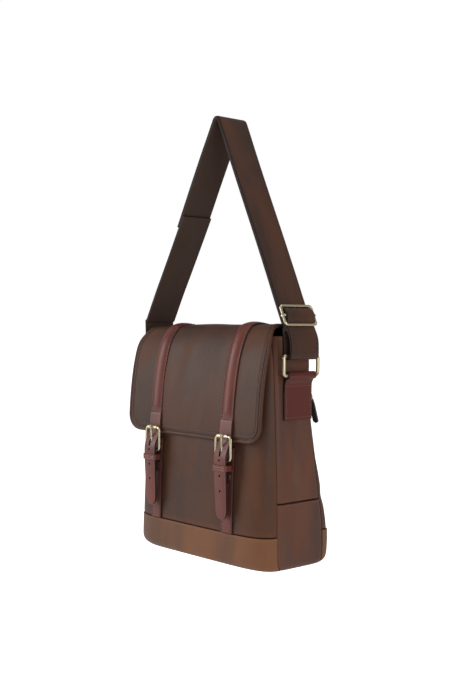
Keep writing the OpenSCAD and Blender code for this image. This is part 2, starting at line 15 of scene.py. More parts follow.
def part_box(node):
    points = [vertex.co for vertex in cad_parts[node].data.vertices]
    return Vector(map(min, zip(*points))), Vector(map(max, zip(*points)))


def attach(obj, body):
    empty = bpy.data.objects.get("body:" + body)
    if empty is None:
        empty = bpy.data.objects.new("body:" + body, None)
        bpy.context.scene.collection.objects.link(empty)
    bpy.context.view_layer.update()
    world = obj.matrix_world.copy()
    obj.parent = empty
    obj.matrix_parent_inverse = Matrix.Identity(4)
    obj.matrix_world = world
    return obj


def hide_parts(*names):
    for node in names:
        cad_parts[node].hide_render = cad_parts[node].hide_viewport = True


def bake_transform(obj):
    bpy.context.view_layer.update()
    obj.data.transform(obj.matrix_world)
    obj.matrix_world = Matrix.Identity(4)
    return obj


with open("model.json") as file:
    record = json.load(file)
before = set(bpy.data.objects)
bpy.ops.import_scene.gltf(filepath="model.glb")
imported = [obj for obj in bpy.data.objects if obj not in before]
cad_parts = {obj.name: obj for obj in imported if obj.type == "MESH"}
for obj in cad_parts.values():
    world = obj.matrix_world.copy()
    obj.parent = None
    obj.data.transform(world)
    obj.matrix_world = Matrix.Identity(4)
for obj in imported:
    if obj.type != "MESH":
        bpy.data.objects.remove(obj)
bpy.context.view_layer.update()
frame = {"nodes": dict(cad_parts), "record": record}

# ------------------------------------------------------------------ sizes, taken from the frame
MM = 0.001
X, Y, Z = 0, 1, 2
LEFT, RIGHT = -1, 1
SIDES = {"left": LEFT, "right": RIGHT}
mounts = {m["name"]: m for m in frame["record"]["mounts"]}
BASE = np.array(mounts["base"]["pos_m"])


def low(node, axis):
    return (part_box(node)[0][axis] - BASE[axis]) / MM


def high(node, axis):
    return (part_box(node)[1][axis] - BASE[axis]) / MM


def middle(node, axis):
    return (low(node, axis) + high(node, axis)) / 2


def width(node, axis):
    return high(node, axis) - low(node, axis)


BODY_H = high("front_panel", Z)
BAND_H = high("front_band", Z)
FOOT_H = high("gusset_foot_right", Z)
BOTTOM_R, SIDE_BOTTOM_R = 14.0, 7.0
BASE_HALF, MOUTH_HALF = 123.5, 118.1
FRONT_LOW, FRONT_TOP = 61.0, 38.5
BACK_LOW, BACK_TOP = 61.0, 19.0
HIDE = 2.2
RING_COUNT = 144
CLOTH_T, CLOTH_EDGE_R, LINING_GAP = 0.7, 0.3, 3.7
TUBE_ROWS, TUBE_COLS = 40, 160
BODY_MIDDLE = np.array([0, 0, BODY_H / 2])

STRAP_Y = middle("shoulder_strap", Y)
STRAP_W = width("shoulder_strap", Y)
STRAP_T = 4.2
CREST_R = 5.0
CREST = np.array([1.5, high("shoulder_strap", Z) - CREST_R - STRAP_T / 2])
LEG_SLOPE = {RIGHT: math.radians(24.65), LEFT: math.radians(27.6)}
RING_X = middle("ring_right", X)
RING_BAR_LOW = middle("tab_loop_right", Z)
RING_BAR_R = 2.2
SPLICE_Z = high("strap_tail_left", Z)

CLOSURE_X = middle("buckle_frame_right", X)
CLOSURE_W = width("tongue_right", X)
BAR_Y = middle("roller_right", Y)
ROLLER_Z = middle("roller_right", Z)
HINGE_Z = ROLLER_Z - 28.0
TONGUE_TIP_Z = low("tongue_right", Z)

FLAP_HALF = high("flap_binding", X)
FLAP_TOP_HALF = high("flap_top_binding", X)
FLAP_CORNER = 20.0
FLAP_T = 3.2
YOKE_LOW = low("flap_yoke", Z)

ZIP_Z = middle("rear_zip_tape", Z)
ZIP_HALF = high("rear_zip_tape", X)


# ------------------------------------------------------------------ the filled body's skin

def fade(z, mid, power):
    return 1 / (1 + (np.maximum(z, 0) / mid) ** power)


def rounding(z, r=BOTTOM_R):
    inner = np.clip(r - np.maximum(z, 0), 0, r)
    return r - np.sqrt(r**2 - inner**2)


def half_w(z):
    return MOUTH_HALF + (BASE_HALF - MOUTH_HALF) * fade(z, 190, 3) - rounding(z, SIDE_BOTTOM_R)


def front_d(z):
    return FRONT_TOP + (FRONT_LOW - FRONT_TOP) * (1 - (np.maximum(z, 0) / BODY_H) ** 3) - rounding(z)


def back_d(z):
    bulge = 4.5 * np.exp(-(((z - 34) / 34) ** 2)) - 2.5 * np.exp(-(((z - 80) / 9) ** 2))
    return BACK_TOP + (BACK_LOW - BACK_TOP) * fade(z, 130, 3.2) - rounding(z) + bulge


def squareness(z):
    return 6 + 6 * (np.maximum(z, 0) / BODY_H) ** 6


def depth(side, z):
    return np.where(side < 0, front_d(z), back_d(z))


def radius_at(angle, z, off):
    """Distance from the middle to the skin in one direction, angle in radians."""
    n = squareness(z)
    across = (np.abs(np.cos(angle)) / (half_w(z) + off)) ** n
    along = (np.abs(np.sin(angle)) / (depth(np.sin(angle), z) + off)) ** n
    return (across + along) ** (-1 / n)


def face_y(side, x, z, off):
    n = squareness(z)
    share = np.clip(np.abs(x) / (half_w(z) + off), 0, 0.999)
    return side * (depth(side, z) + off) * (1 - share**n) ** (1 / n)


def side_x(y, z, off):
    n = squareness(z)
    share = np.clip(np.abs(y) / (depth(y, z) + off), 0, 0.999)
    return (half_w(z) + off) * (1 - share**n) ** (1 / n)


def front_seam(z):
    return -np.arctan2(37 + 4 * (z / BODY_H) ** 2 - rounding(z), half_w(z))


def back_seam(z):
    return np.arctan2(19 + 20 * fade(z, 125, 3.2) + 3 * fade(z, 70, 4) - rounding(z), half_w(z))


def smooth(edge0, edge1, value):
    t = np.clip((value - edge0) / (edge1 - edge0), 0, 1)
    return t * t * (3 - 2 * t)


def settled(points):
    """The front left corner of the body has slumped inwards a little."""
    t = smooth(-72, -120, points[..., X]) * smooth(10, -45, points[..., Y])
    return points + t[..., None] * np.array([6.0, 3.5, 0.0])


def ripple(points, size, amount, seed):
    """Soft unevenness of a hide: one smooth noise value for each point, in millimetres."""
    flat = points.reshape(-1, 3) / size + seed * 7.3
    values = np.array([noise.noise(Vector(p)) for p in flat])
    return amount * values.reshape(points.shape[:-1])


# ------------------------------------------------------------------ mesh making

def in_scene(name, data):
    """New object for some data, linked to the scene."""
    made = bpy.data.objects.new(name, data)
    bpy.context.scene.collection.objects.link(made)
    return made


def to_object(name, points, faces, from_edge=None, uv=None, crease=50):
    """Mesh object from points in bag millimetres. from_edge is the distance from the cut edge."""
    mesh = bpy.data.meshes.new(name)
    placed = np.asarray(points, float) * MM + BASE
    mesh.from_pydata([tuple(p) for p in placed], [], [tuple(int(i) for i in f) for f in faces])
    if from_edge is not None:
        layer = mesh.attributes.new("from_edge", "FLOAT", "POINT")
        layer.data.foreach_set("value", np.asarray(from_edge, np.float32).ravel())
    if uv is not None:
        layer = mesh.uv_layers.new(name="flat")
        corner = np.empty(len(mesh.loops), np.int32)
        mesh.loops.foreach_get("vertex_index", corner)
        layer.data.foreach_set("uv", (np.asarray(uv, np.float32) * MM)[corner].ravel())
    work = bmesh.new()
    work.from_mesh(mesh)
    bmesh.ops.recalc_face_normals(work, faces=work.faces)
    work.to_mesh(mesh)
    work.free()
    mesh.shade_smooth()
    mesh.set_sharp_from_angle(angle=math.radians(crease))
    return in_scene(name, mesh)


def arc_lengths(grid, axis):
    steps = np.linalg.norm(np.diff(grid, axis=axis), axis=2)
    start = np.zeros_like(np.take(steps, [0], axis=axis))
    return np.concatenate([start, np.cumsum(steps, axis=axis)], axis=axis)


def grid_normals(grid):
    n = np.cross(np.gradient(grid, axis=1), np.gradient(grid, axis=0))
    return n / np.maximum(np.linalg.norm(n, axis=2, keepdims=True), 1e-9)


def outward_normals(grid, facing=None):
    """Normals of a grid that point away from the middle of the bag, or along facing where it is given."""
    normals = grid_normals(grid)
    away = grid - BODY_MIDDLE if facing is None else np.array(facing, float)
    return normals if (normals * away).sum() > 0 else -normals


def hide_sheet(name, grid, thickness, facing=None, edge_r=0.7, cut=(1, 1, 1, 1), crease=50):
    """Closed leather sheet under a grid of outer points (rows, columns, 3), with rounded cut edges.

    cut says which of the edges left, right, first row and last row are real cut edges.
    """
    rows, cols = grid.shape[:2]
    normals = outward_normals(grid, facing)
    across, along = arc_lengths(grid, 1), arc_lengths(grid, 0)
    far = 1e3
    away = np.minimum.reduce([
        across if cut[0] else across + far,
        (across[:, -1:] - across) if cut[1] else (across[:, -1:] - across) + far,
        along if cut[2] else along + far,
        (along[-1:] - along) if cut[3] else (along[-1:] - along) + far])
    near = np.clip(edge_r - away, 0, edge_r)
    drop = edge_r - np.sqrt(edge_r**2 - near**2)
    outer = grid - normals * drop[..., None]
    inner = grid - normals * thickness
    points = np.concatenate([outer.reshape(-1, 3), inner.reshape(-1, 3)])
    index = np.arange(rows * cols).reshape(rows, cols)
    a, b, c, d = index[:-1, :-1], index[:-1, 1:], index[1:, 1:], index[1:, :-1]
    top = np.stack([a, b, c, d], -1).reshape(-1, 4)
    low_side = top[:, ::-1] + rows * cols
    rim = np.concatenate([index[0, :], index[1:, -1], index[-1, -2::-1], index[-2:0:-1, 0]])
    after = np.roll(rim, -1)
    wall = np.stack([rim, after, after + rows * cols, rim + rows * cols], -1)
    marks = np.concatenate([np.minimum(away, 60).ravel(), np.full(rows * cols, -1.0)])
    flat = np.stack([across.ravel(), along.ravel()], -1)
    return to_object(name, points, np.concatenate([top, low_side, wall]), marks,
                     np.concatenate([flat, flat]), crease)


def swept(name, centre, side, lift, profile, marks, loop=False, crease=50):
    """Closed band whose profile (a, b) sits at centre + a*side + b*lift all along a path."""
    count, ring = len(centre), len(profile)
    points = (centre[:, None] + profile[None, :, :1] * side[:, None]
              + profile[None, :, 1:] * lift[:, None])
    index = np.arange(count * ring).reshape(count, ring)
    ahead = np.roll(index, -1, axis=1)
    last = count if loop else count - 1
    nxt = np.roll(index, -1, axis=0)
    nxt_ahead = np.roll(ahead, -1, axis=0)
    quads = np.stack([index, ahead, nxt_ahead, nxt], -1)[:last].reshape(-1, 4).tolist()
    if not loop:
        quads += [index[0].tolist(), index[-1].tolist()]
    run = run_along(centre)
    girth = run_along(profile)
    flat = np.stack([np.tile(girth, count), np.repeat(run, ring)], -1)
    return to_object(name, points.reshape(-1, 3), quads, np.tile(marks, count), flat, crease)


def strap_profile(wide, thick, dome=0.0, dome_half=None, edge_r=0.6, steps=24):
    """Section of a strap, and each point's distance from its cut edge; the back counts as -1."""
    a = np.linspace(-wide / 2, wide / 2, steps)
    a = np.concatenate([[a[0]], [a[0] + edge_r * 0.3, a[0] + edge_r], a[1:-1],
                        [a[-1] - edge_r, a[-1] - edge_r * 0.3], [a[-1]]])
    away = wide / 2 - np.abs(a)
    near = np.clip(edge_r - away, 0, edge_r)
    swell = np.zeros_like(a)
    if dome:
        share = np.clip(np.abs(a) / (dome_half or wide / 2), 0, 1)
        swell = dome * np.cos(share * math.pi / 2) ** 0.7
    top = np.stack([a, thick + swell - (edge_r - np.sqrt(edge_r**2 - near**2))], -1)
    back = np.stack([a[::-1][::4], np.zeros(len(a[::-1][::4]))], -1)
    if back[-1, 0] > a[0] + 1e-6:
        back = np.concatenate([back, [[a[0], 0]]])
    return np.concatenate([top, back]), np.concatenate([away, np.full(len(back), -1.0)])


def spaced(length, step, edge=2.0):
    """Shares from 0 to 1 along a length, a few extra near both ends so that edges round well."""
    count = max(4, int(length / step))
    extra = np.array([0.0, 0.15, 0.4, 0.8, 1.4, edge]) / length
    body = np.linspace(edge / length, 1 - edge / length, count)
    return np.unique(np.concatenate([extra, body, 1 - extra]))


def stops(start, end, step):
    """Values from start to end, spaced as in spaced()."""
    return start + (end - start) * spaced(end - start, step)


def softened(corners, rounds=3):
    """A line with its corners cut smooth; its ends stay."""
    line = np.asarray(corners, float)
    for _ in range(rounds):
        q = 0.75 * line[:-1] + 0.25 * line[1:]
        r = 0.25 * line[:-1] + 0.75 * line[1:]
        line = np.concatenate([line[:1], np.stack([q, r], 1).reshape(-1, line.shape[1]), line[-1:]])
    return line


def tangents(line):
    t = np.gradient(line, axis=0)
    return t / np.linalg.norm(t, axis=1, keepdims=True)


def run_along(line):
    """Distance of each point of a line from its first point."""
    return np.concatenate([[0], np.cumsum(np.linalg.norm(np.diff(line, axis=0), axis=1))])


def resampled(line, step):
    run = run_along(line)
    at = np.linspace(0, run[-1], max(2, int(run[-1] / step) + 1))
    return np.stack([np.interp(at, run, line[:, i]) for i in range(line.shape[1])], -1)


# ------------------------------------------------------------------ shader groups and materials

def new_group(name, inputs, outputs):
    group = bpy.data.node_groups.new(name, "ShaderNodeTree")
    for label, kind, value in inputs:
        socket = group.interface.new_socket(label, in_out="INPUT", socket_type=kind)
        if value is not None:
            socket.default_value = value
    for label, kind in outputs:
        group.interface.new_socket(label, in_out="OUTPUT", socket_type=kind)
    return group, group.nodes.new("NodeGroupInput"), group.nodes.new("NodeGroupOutput")


def node(tree, kind, links=None, **values):
    """Adds a shader node, sets its plain values, and links its inputs."""
    made = tree.nodes.new(kind)
    for key, value in values.items():
        setattr(made, key, value)
    for socket, source in (links or {}).items():
        if isinstance(source, bpy.types.NodeSocket):
            tree.links.new(source, made.inputs[socket])
        else:
            made.inputs[socket].default_value = source
    return made


def mixed(tree, factor, a, b):
    return node(tree, "ShaderNodeMix", {0: factor, 6: a, 7: b}, data_type="RGBA").outputs[2]


def maths(tree, operation, a, b, clamp=False):
    return node(tree, "ShaderNodeMath", {0: a, 1: b}, operation=operation, use_clamp=clamp).outputs[0]


def ranged(tree, value, low_in, high_in, low_out=0.0, high_out=1.0):
    values = {"Value": value, "From Min": low_in, "From Max": high_in, "To Min": low_out, "To Max": high_out}
    return node(tree, "ShaderNodeMapRange", values, interpolation_type="SMOOTHSTEP").outputs["Result"]


def noise_of(tree, place, scale, detail, **more):
    values = {"Vector": place, "Scale": scale, "Detail": detail, **more}
    return node(tree, "ShaderNodeTexNoise", values).outputs["Fac"]


def grain_group():
    """Hide grain: pebble height, slow pull-up blotches, and fine drag marks, from Object coordinates."""
    group, source, sink = new_group(
        "hide_grain",
        [("Pebble", "NodeSocketFloat", 1100.0), ("Blotch", "NodeSocketFloat", 14.0),
         ("Crease", "NodeSocketFloat", 0.35)],
        [("Height", "NodeSocketFloat"), ("Blotches", "NodeSocketFloat"), ("Marks", "NodeSocketFloat")])
    place = node(group, "ShaderNodeTexCoord").outputs["Object"]
    tall = node(group, "ShaderNodeMapping", {"Vector": place, "Scale": (1.0, 1.0, 0.3)}).outputs[0]
    pebble = node(group, "ShaderNodeTexVoronoi", {"Vector": place, "Scale": source.outputs["Pebble"],
                                                  "Smoothness": 0.6}, feature="SMOOTH_F1")
    pores = noise_of(group, place, 2400.0, 2.0)
    creases = noise_of(group, place, 170.0, 4.0, Roughness=0.6, Distortion=0.8)
    slow = noise_of(group, tall, source.outputs["Blotch"], 3.0, Roughness=0.55, Distortion=0.5)
    marks = noise_of(group, tall, 26.0, 3.0, Roughness=0.5, Distortion=0.6)
    fine = maths(group, "ADD", maths(group, "MULTIPLY", pebble.outputs["Distance"], 0.7),
                 maths(group, "MULTIPLY", pores, 0.3))
    height = maths(group, "ADD", fine,
                   maths(group, "MULTIPLY", creases, source.outputs["Crease"]))
    group.links.new(height, sink.inputs["Height"])
    group.links.new(ranged(group, slow, 0.34, 0.66), sink.inputs["Blotches"])
    group.links.new(ranged(group, marks, 0.42, 0.72), sink.inputs["Marks"])
    return group


def edge_group():
    """Masks from the distance to the cut edge: painted rim, rubbed border and flesh side; in the binding's
    groove the rim mask paints shade.
    """
    group, source, sink = new_group(
        "cut_edge",
        [("Rim", "NodeSocketFloat", 0.7), ("Border", "NodeSocketFloat", 4.0)],
        [("Rim", "NodeSocketFloat"), ("Border", "NodeSocketFloat"), ("Flesh", "NodeSocketFloat")])
    away = node(group, "ShaderNodeAttribute", attribute_name="from_edge").outputs["Fac"]
    inside = maths(group, "SUBTRACT", 1.0, maths(group, "DIVIDE", away, source.outputs["Rim"]), True)
    border = maths(group, "SUBTRACT", 1.0, maths(group, "DIVIDE", away, source.outputs["Border"]), True)
    group.links.new(inside, sink.inputs["Rim"])
    group.links.new(border, sink.inputs["Border"])
    group.links.new(ranged(group, away, -0.4, -0.95), sink.inputs["Flesh"])
    return group


GRAIN = grain_group()
EDGE = edge_group()


def hue(r, g, b):
    """Linear colour from the 0 to 255 values of a colour card."""
    def linear(value):
        v = value / 255
        return v / 12.92 if v <= 0.04045 else ((v + 0.055) / 1.055) ** 2.4
    return (linear(r), linear(g), linear(b), 1.0)


def new_material(name):
    made = bpy.data.materials.new(name)
    made.use_nodes = True
    return made, made.node_tree, made.node_tree.nodes["Principled BSDF"]


def add_relief(tree, shader, height, strength, distance):
    relief = node(tree, "ShaderNodeBump", {"Height": height, "Strength": strength, "Distance": distance})
    tree.links.new(relief.outputs["Normal"], shader.inputs["Normal"])


def leather(name, main, deep, glow, rim, flesh, rough=0.52, shine=0.35, pebble=1100.0, bump=0.35,
            blotch=14.0, worn=0.25, rim_mm=0.7, border_mm=4.0, coat=0.0):
    """Waxed leather: deep and glow are the pull-up tones that drift through the main colour."""
    made, tree, shader = new_material(name)
    grain = node(tree, "ShaderNodeGroup", node_tree=GRAIN)
    grain.inputs["Pebble"].default_value = pebble
    grain.inputs["Blotch"].default_value = blotch
    cut = node(tree, "ShaderNodeGroup", node_tree=EDGE)
    cut.inputs["Rim"].default_value = rim_mm
    cut.inputs["Border"].default_value = border_mm
    colour = mixed(tree, grain.outputs["Blotches"], deep, main)
    colour = mixed(tree, maths(tree, "MULTIPLY", grain.outputs["Marks"], 0.4), colour, glow)
    colour = mixed(tree, maths(tree, "MULTIPLY", cut.outputs["Border"], worn), colour, glow)
    colour = mixed(tree, cut.outputs["Rim"], colour, rim)
    colour = mixed(tree, cut.outputs["Flesh"], colour, flesh)
    tree.links.new(colour, shader.inputs["Base Color"])
    roughness = maths(tree, "ADD", rough - 0.07, maths(tree, "MULTIPLY", grain.outputs["Marks"], 0.16))
    roughness = maths(tree, "ADD", roughness, maths(tree, "MULTIPLY", cut.outputs["Flesh"], 0.25))
    tree.links.new(roughness, shader.inputs["Roughness"])
    add_relief(tree, shader, grain.outputs["Height"], bump, 0.0006)
    shader.inputs["Specular IOR Level"].default_value = shine
    shader.inputs["Coat Weight"].default_value = coat
    shader.inputs["Coat Roughness"].default_value = 0.35
    return made


def metal(name, colour, rough=0.2):
    """Polished plate with faint brushing and soft handling marks."""
    made, tree, shader = new_material(name)
    place = node(tree, "ShaderNodeTexCoord").outputs["Object"]
    fine, slow = noise_of(tree, place, 900.0, 3.0), noise_of(tree, place, 120.0, 3.0)
    tone = mixed(tree, slow, colour, tuple(c * 0.82 for c in colour[:3]) + (1.0,))
    tree.links.new(tone, shader.inputs["Base Color"])
    tree.links.new(ranged(tree, slow, 0.3, 0.7, rough * 0.8, rough * 1.5),
                   shader.inputs["Roughness"])
    shader.inputs["Metallic"].default_value = 1.0
    add_relief(tree, shader, fine, 0.012, 0.0002)
    return made


def woven(name, dark, light, threads=900.0, sheen=0.3):
    """Plain weave from the piece's own flat UV: over and under threads in both directions."""
    made, tree, shader = new_material(name)
    flat = node(tree, "ShaderNodeUVMap", uv_map="flat").outputs["UV"]
    warp = node(tree, "ShaderNodeTexWave", {"Vector": flat, "Scale": threads, "Distortion": 0.4},
                bands_direction="X")
    weft = node(tree, "ShaderNodeTexWave", {"Vector": flat, "Scale": threads, "Distortion": 0.4},
                bands_direction="Y")
    both = maths(tree, "MULTIPLY", warp.outputs["Fac"], weft.outputs["Fac"])
    tree.links.new(mixed(tree, both, dark, light), shader.inputs["Base Color"])
    add_relief(tree, shader, both, 0.4, 0.0003)
    shader.inputs["Roughness"].default_value = 0.85
    shader.inputs["Sheen Weight"].default_value = sheen
    return made


def thread(name, colour):
    made, tree, shader = new_material(name)
    place = node(tree, "ShaderNodeTexCoord").outputs["Object"]
    twist = noise_of(tree, place, 1500.0, 2.0)
    darker = tuple(c * 0.55 for c in colour[:3]) + (1.0,)
    tree.links.new(mixed(tree, twist, darker, colour), shader.inputs["Base Color"])
    shader.inputs["Roughness"].default_value = 0.6
    shader.inputs["Sheen Weight"].default_value = 0.2
    return made


FLESH = hue(78, 62, 52)
SEAM = hue(30, 16, 12)
BROWN = leather("brown_hide", hue(89, 57, 41), hue(71, 49, 39), hue(116, 68, 40), SEAM, FLESH,
                shine=0.3, worn=0.5, rim_mm=1.9, border_mm=8.0)
TAN = leather("tan_hide", hue(132, 88, 60), hue(108, 74, 54), hue(156, 98, 54), SEAM, FLESH, shine=0.3,
              worn=0.35, rim_mm=0.5)
# The binding's dark rim colour also paints shade into the groove between its bead and its lip.
BINDING = leather("binding_hide", hue(76, 47, 34), hue(64, 41, 32), hue(116, 68, 41), hue(40, 22, 15),
                  FLESH, worn=0.35, border_mm=2.0)
GUSSET = leather("gusset_hide", hue(108, 70, 54), hue(90, 62, 52), hue(120, 70, 46), SEAM, FLESH, shine=0.3,
                 worn=0.4, rim_mm=1.7, border_mm=6.0)
OXBLOOD = leather("oxblood_hide", hue(119, 58, 47), hue(99, 49, 42), hue(139, 72, 57), hue(38, 18, 16),
                  hue(70, 44, 38), rough=0.42, shine=0.45, pebble=1500.0, bump=0.22, blotch=30.0, coat=0.08)
PATCH = leather("patch_hide", hue(92, 32, 22), hue(78, 28, 20), hue(106, 40, 27), hue(34, 16, 14),
                hue(70, 44, 38), rough=0.45, shine=0.4, pebble=1500.0, bump=0.22, blotch=30.0, coat=0.06)
STRAP = leather("strap_hide", hue(84, 56, 44), hue(68, 48, 40), hue(100, 62, 42), hue(26, 18, 17),
                hue(74, 56, 48), shine=0.2, rim_mm=1.8, blotch=18.0, worn=0.15)
PULLER = leather("puller_hide", hue(34, 30, 30), hue(26, 24, 24), hue(48, 42, 40), hue(120, 112, 104),
                 hue(60, 56, 54), rough=0.4, rim_mm=0.5)
BRASS = metal("pale_brass_plate", hue(232, 218, 184), 0.22)
STEEL = metal("snap_plate", hue(206, 202, 196), 0.24)
TEETH = metal("zip_teeth_metal", hue(170, 150, 108), 0.3)
CLOTH = woven("lining_weave", hue(38, 34, 32), hue(66, 58, 52))
TAPE = woven("tape_weave", hue(20, 18, 18), hue(44, 40, 38), threads=1400.0)
DARK_THREAD = thread("dark_thread", hue(40, 24, 20))
PALE_THREAD = thread("pale_thread", hue(150, 120, 104))
RUST_THREAD = thread("rust_thread", hue(176, 122, 92))


def finish_piece(piece, material, body, nodes=()):
    piece.data.materials.clear()
    piece.data.materials.append(material)
    if body:
        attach(piece, body)
    if nodes:
        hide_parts(*nodes)
    return piece


# ------------------------------------------------------------------ stitches, by geometry nodes

def wire_tree(name, numbers):
    """Node tree that takes wires, some numbers and a material; also returns its socket identifiers."""
    tree = bpy.data.node_groups.new(name, "GeometryNodeTree")
    wanted = [("Geometry", "NodeSocketGeometry", None)]
    wanted += [(label, "NodeSocketFloat", value) for label, value in numbers.items()]
    wanted.append(("Material", "NodeSocketMaterial", None))
    made = {}
    for label, kind, value in wanted:
        socket = tree.interface.new_socket(label, in_out="INPUT", socket_type=kind)
        if value is not None:
            socket.default_value = value
        made[label] = socket.identifier
    tree.interface.new_socket("Geometry", in_out="OUTPUT", socket_type="NodeSocketGeometry")
    return tree, made, tree.nodes.new("NodeGroupInput"), tree.nodes.new("NodeGroupOutput")


def stitch_tree():
    """Thread stitches of even pitch along every line of the incoming wires."""
    tree, made, source, sink = wire_tree("stitch_line", {"Pitch": 0.0045, "Length": 0.003, "Radius": 0.0003})

    def add(kind, links=None, **values):
        return node(tree, kind, links, **values)

    wires = add("GeometryNodeMeshToCurve", {"Mesh": source.outputs["Geometry"]})
    dots = add("GeometryNodeCurveToPoints", {"Curve": wires.outputs["Curve"],
                                             "Length": source.outputs["Pitch"]}, mode="LENGTH")
    ball = add("GeometryNodeMeshUVSphere", {"Segments": 8, "Rings": 5, "Radius": 1.0})
    half = add("ShaderNodeMath", {0: source.outputs["Length"], 1: 0.5}, operation="MULTIPLY")
    stretch = add("ShaderNodeCombineXYZ", {"X": source.outputs["Radius"], "Y": source.outputs["Radius"],
                                           "Z": half.outputs[0]})
    bead = add("GeometryNodeTransform", {"Geometry": ball.outputs["Mesh"], "Scale": stretch.outputs[0]})
    jitter = add("FunctionNodeRandomValue", {"Seed": 11}, data_type="FLOAT")
    jitter.inputs[2].default_value = 0.88
    jitter.inputs[3].default_value = 1.1
    row = add("GeometryNodeInstanceOnPoints", {"Points": dots.outputs["Points"],
                                               "Instance": bead.outputs["Geometry"],
                                               "Rotation": dots.outputs["Rotation"],
                                               "Scale": jitter.outputs[1]})
    real = add("GeometryNodeRealizeInstances", {"Geometry": row.outputs["Instances"]})
    smooth_shade = add("GeometryNodeSetShadeSmooth", {"Geometry": real.outputs[0]})
    painted = add("GeometryNodeSetMaterial", {"Geometry": smooth_shade.outputs[0],
                                              "Material": source.outputs["Material"]})
    tree.links.new(painted.outputs[0], sink.inputs[0])
    return tree, made


STITCH_TREE, STITCH_INPUTS = stitch_tree()


def run_nodes(name, mesh_lines, tree, values):
    """Evaluates a node tree on wires in bag millimetres and returns the plain mesh object."""
    points, edges = [], []
    for line in mesh_lines:
        start = len(points)
        points += [tuple(p) for p in np.asarray(line, float) * MM + BASE]
        edges += [(i, i + 1) for i in range(start, len(points) - 1)]
    wires = bpy.data.meshes.new(name + "_wires")
    wires.from_pydata(points, edges, [])
    carrier = in_scene(name + "_wires", wires)
    modifier = carrier.modifiers.new("make", "NODES")
    modifier.node_group = tree
    for identifier, value in values.items():
        modifier[identifier] = value
    bpy.context.view_layer.update()
    mesh = bpy.data.meshes.new_from_object(
        carrier.evaluated_get(bpy.context.evaluated_depsgraph_get()))
    carrier.modifiers.remove(modifier)
    bpy.data.objects.remove(carrier)
    mesh.name = name
    return in_scene(name, mesh)


def stitches(name, lines, body, material=DARK_THREAD, pitch=4.4, length=3.1, radius=0.32):
    ids = STITCH_INPUTS
    piece = run_nodes(name, lines, STITCH_TREE, {
        ids["Pitch"]: pitch * MM, ids["Length"]: length * MM, ids["Radius"]: radius * MM,
        ids["Material"]: material})
    if body:
        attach(piece, body)
    return piece


# ------------------------------------------------------------------ body: panels, bands, gussets

def wall_limits(side, z):
    return {
        "front": (-math.pi - front_seam(z), front_seam(z)),
        "right": (front_seam(z), back_seam(z)),
        "back": (back_seam(z), math.pi - back_seam(z)),
        "left": (math.pi - back_seam(z), math.pi - front_seam(z)),
    }[side]


def gusset_folds(y, z):
    """How far the gussets dent in: upright folds near the mouth, slack below the patch."""
    upper = smooth(150, 262, z)
    fold = -2.2 * np.exp(-(((y + 31) / 3.2) ** 2)) + 1.0 * np.exp(-(((y + 36) / 3.0) ** 2))
    fold += -1.8 * np.exp(-(((y - 14) / 4.0) ** 2)) - 1.6 * np.exp(-(((y + 4) / 12) ** 2))
    slack = 1.6 * np.exp(-(((y + 14 - 0.18 * (z - 120)) / 7) ** 2)) * smooth(60, 110, z) * (1 - upper)
    dent = -1.8 * np.exp(-(((y - 4 + 0.25 * (z - 120)) / 9) ** 2)) * smooth(85, 120, z) * (1 - upper)
    low_fold = -1.4 * np.exp(-(((y + 12 + 0.3 * (z - 40)) / 8) ** 2)) * smooth(10, 30, z) * smooth(76, 60, z)
    return fold * upper + slack + dent + low_fold


def front_slack(x, z):
    """Gentle hollows and swells of the filled front and its vertical pull below the straps."""
    swell = 1.2 * np.exp(-((x / 60) ** 2) - ((z - 95) / 60) ** 2)
    pull = -0.8 * np.exp(-(((np.abs(x) - CLOSURE_X - 17) / 6) ** 2)) * smooth(60, 110, z)
    return swell + pull


def wall_z(z0, z1, step):
    """Heights of the rows; the bottom rounding gets rows of even turn."""
    z = stops(z0, z1, step)
    if z0 < BOTTOM_R:
        turn = np.linspace(0.0, math.pi / 2, 14)
        arc = BOTTOM_R * (1 - np.cos(turn))
        z = np.concatenate([arc[:-1], z[z > arc[-2] + 1.0]])
    return z


def wall_sheet(name, side, z0, z1, off, seed, step=3.2, cut_low=True, pinch=1.8, thread_drop=None):
    z = wall_z(z0, z1, step)[:, None]
    span = 244 if side in ("front", "back") else 78
    share = spaced(span, step)[None, :]
    start, end = wall_limits(side, z)
    gap = math.radians(0.22)
    angle = start + gap + (end - start - 2 * gap) * share
    zz = np.broadcast_to(z, angle.shape)
    r = radius_at(angle, zz, off)
    x, y = r * np.cos(angle), r * np.sin(angle)
    points = np.stack([x, y, zz], -1)
    across = arc_lengths(points, 1)
    seam = np.minimum(across, across[:, -1:] - across)
    push = -pinch * np.exp(-((seam / 2.8) ** 2)) + 0.8 * np.exp(-(((seam - 6.5) / 3.2) ** 2))
    calm = smooth(0, 12, seam)
    push = push + ripple(points, 70, 1.1, seed) * calm + ripple(points, 24, 0.35, seed + 1) * calm
    if side in ("left", "right"):
        push = push + gusset_folds(y, zz) * smooth(0, 8, seam)
    if side == "front":
        push = push + front_slack(x, zz) * calm
    fadeout = smooth(0.0, 10.0, zz) if z0 < BOTTOM_R else 1.0
    if side in ("front", "back"):
        outward = np.stack([np.zeros_like(x), np.sign(y) + 0 * x, 0 * x], -1)
    else:
        outward = np.stack([np.sign(x) + 0 * x, 0 * x, 0 * x], -1)
    points = settled(points + outward * (push * fadeout)[..., None])
    if thread_drop:
        row_of = int(np.argmin(np.abs(z[:, 0] - (z1 - thread_drop))))
        line = points[row_of, 3:-3] + outward[row_of, 3:-3] * 0.15
        stitches(name.replace("_hide", "_stitches"), [line], "case", RUST_THREAD, pitch=4.0, length=2.5,
                 radius=0.26)
    return hide_sheet(name, points, HIDE, edge_r=1.5,
                      cut=(1, 1, 1 if cut_low else 0, 1))


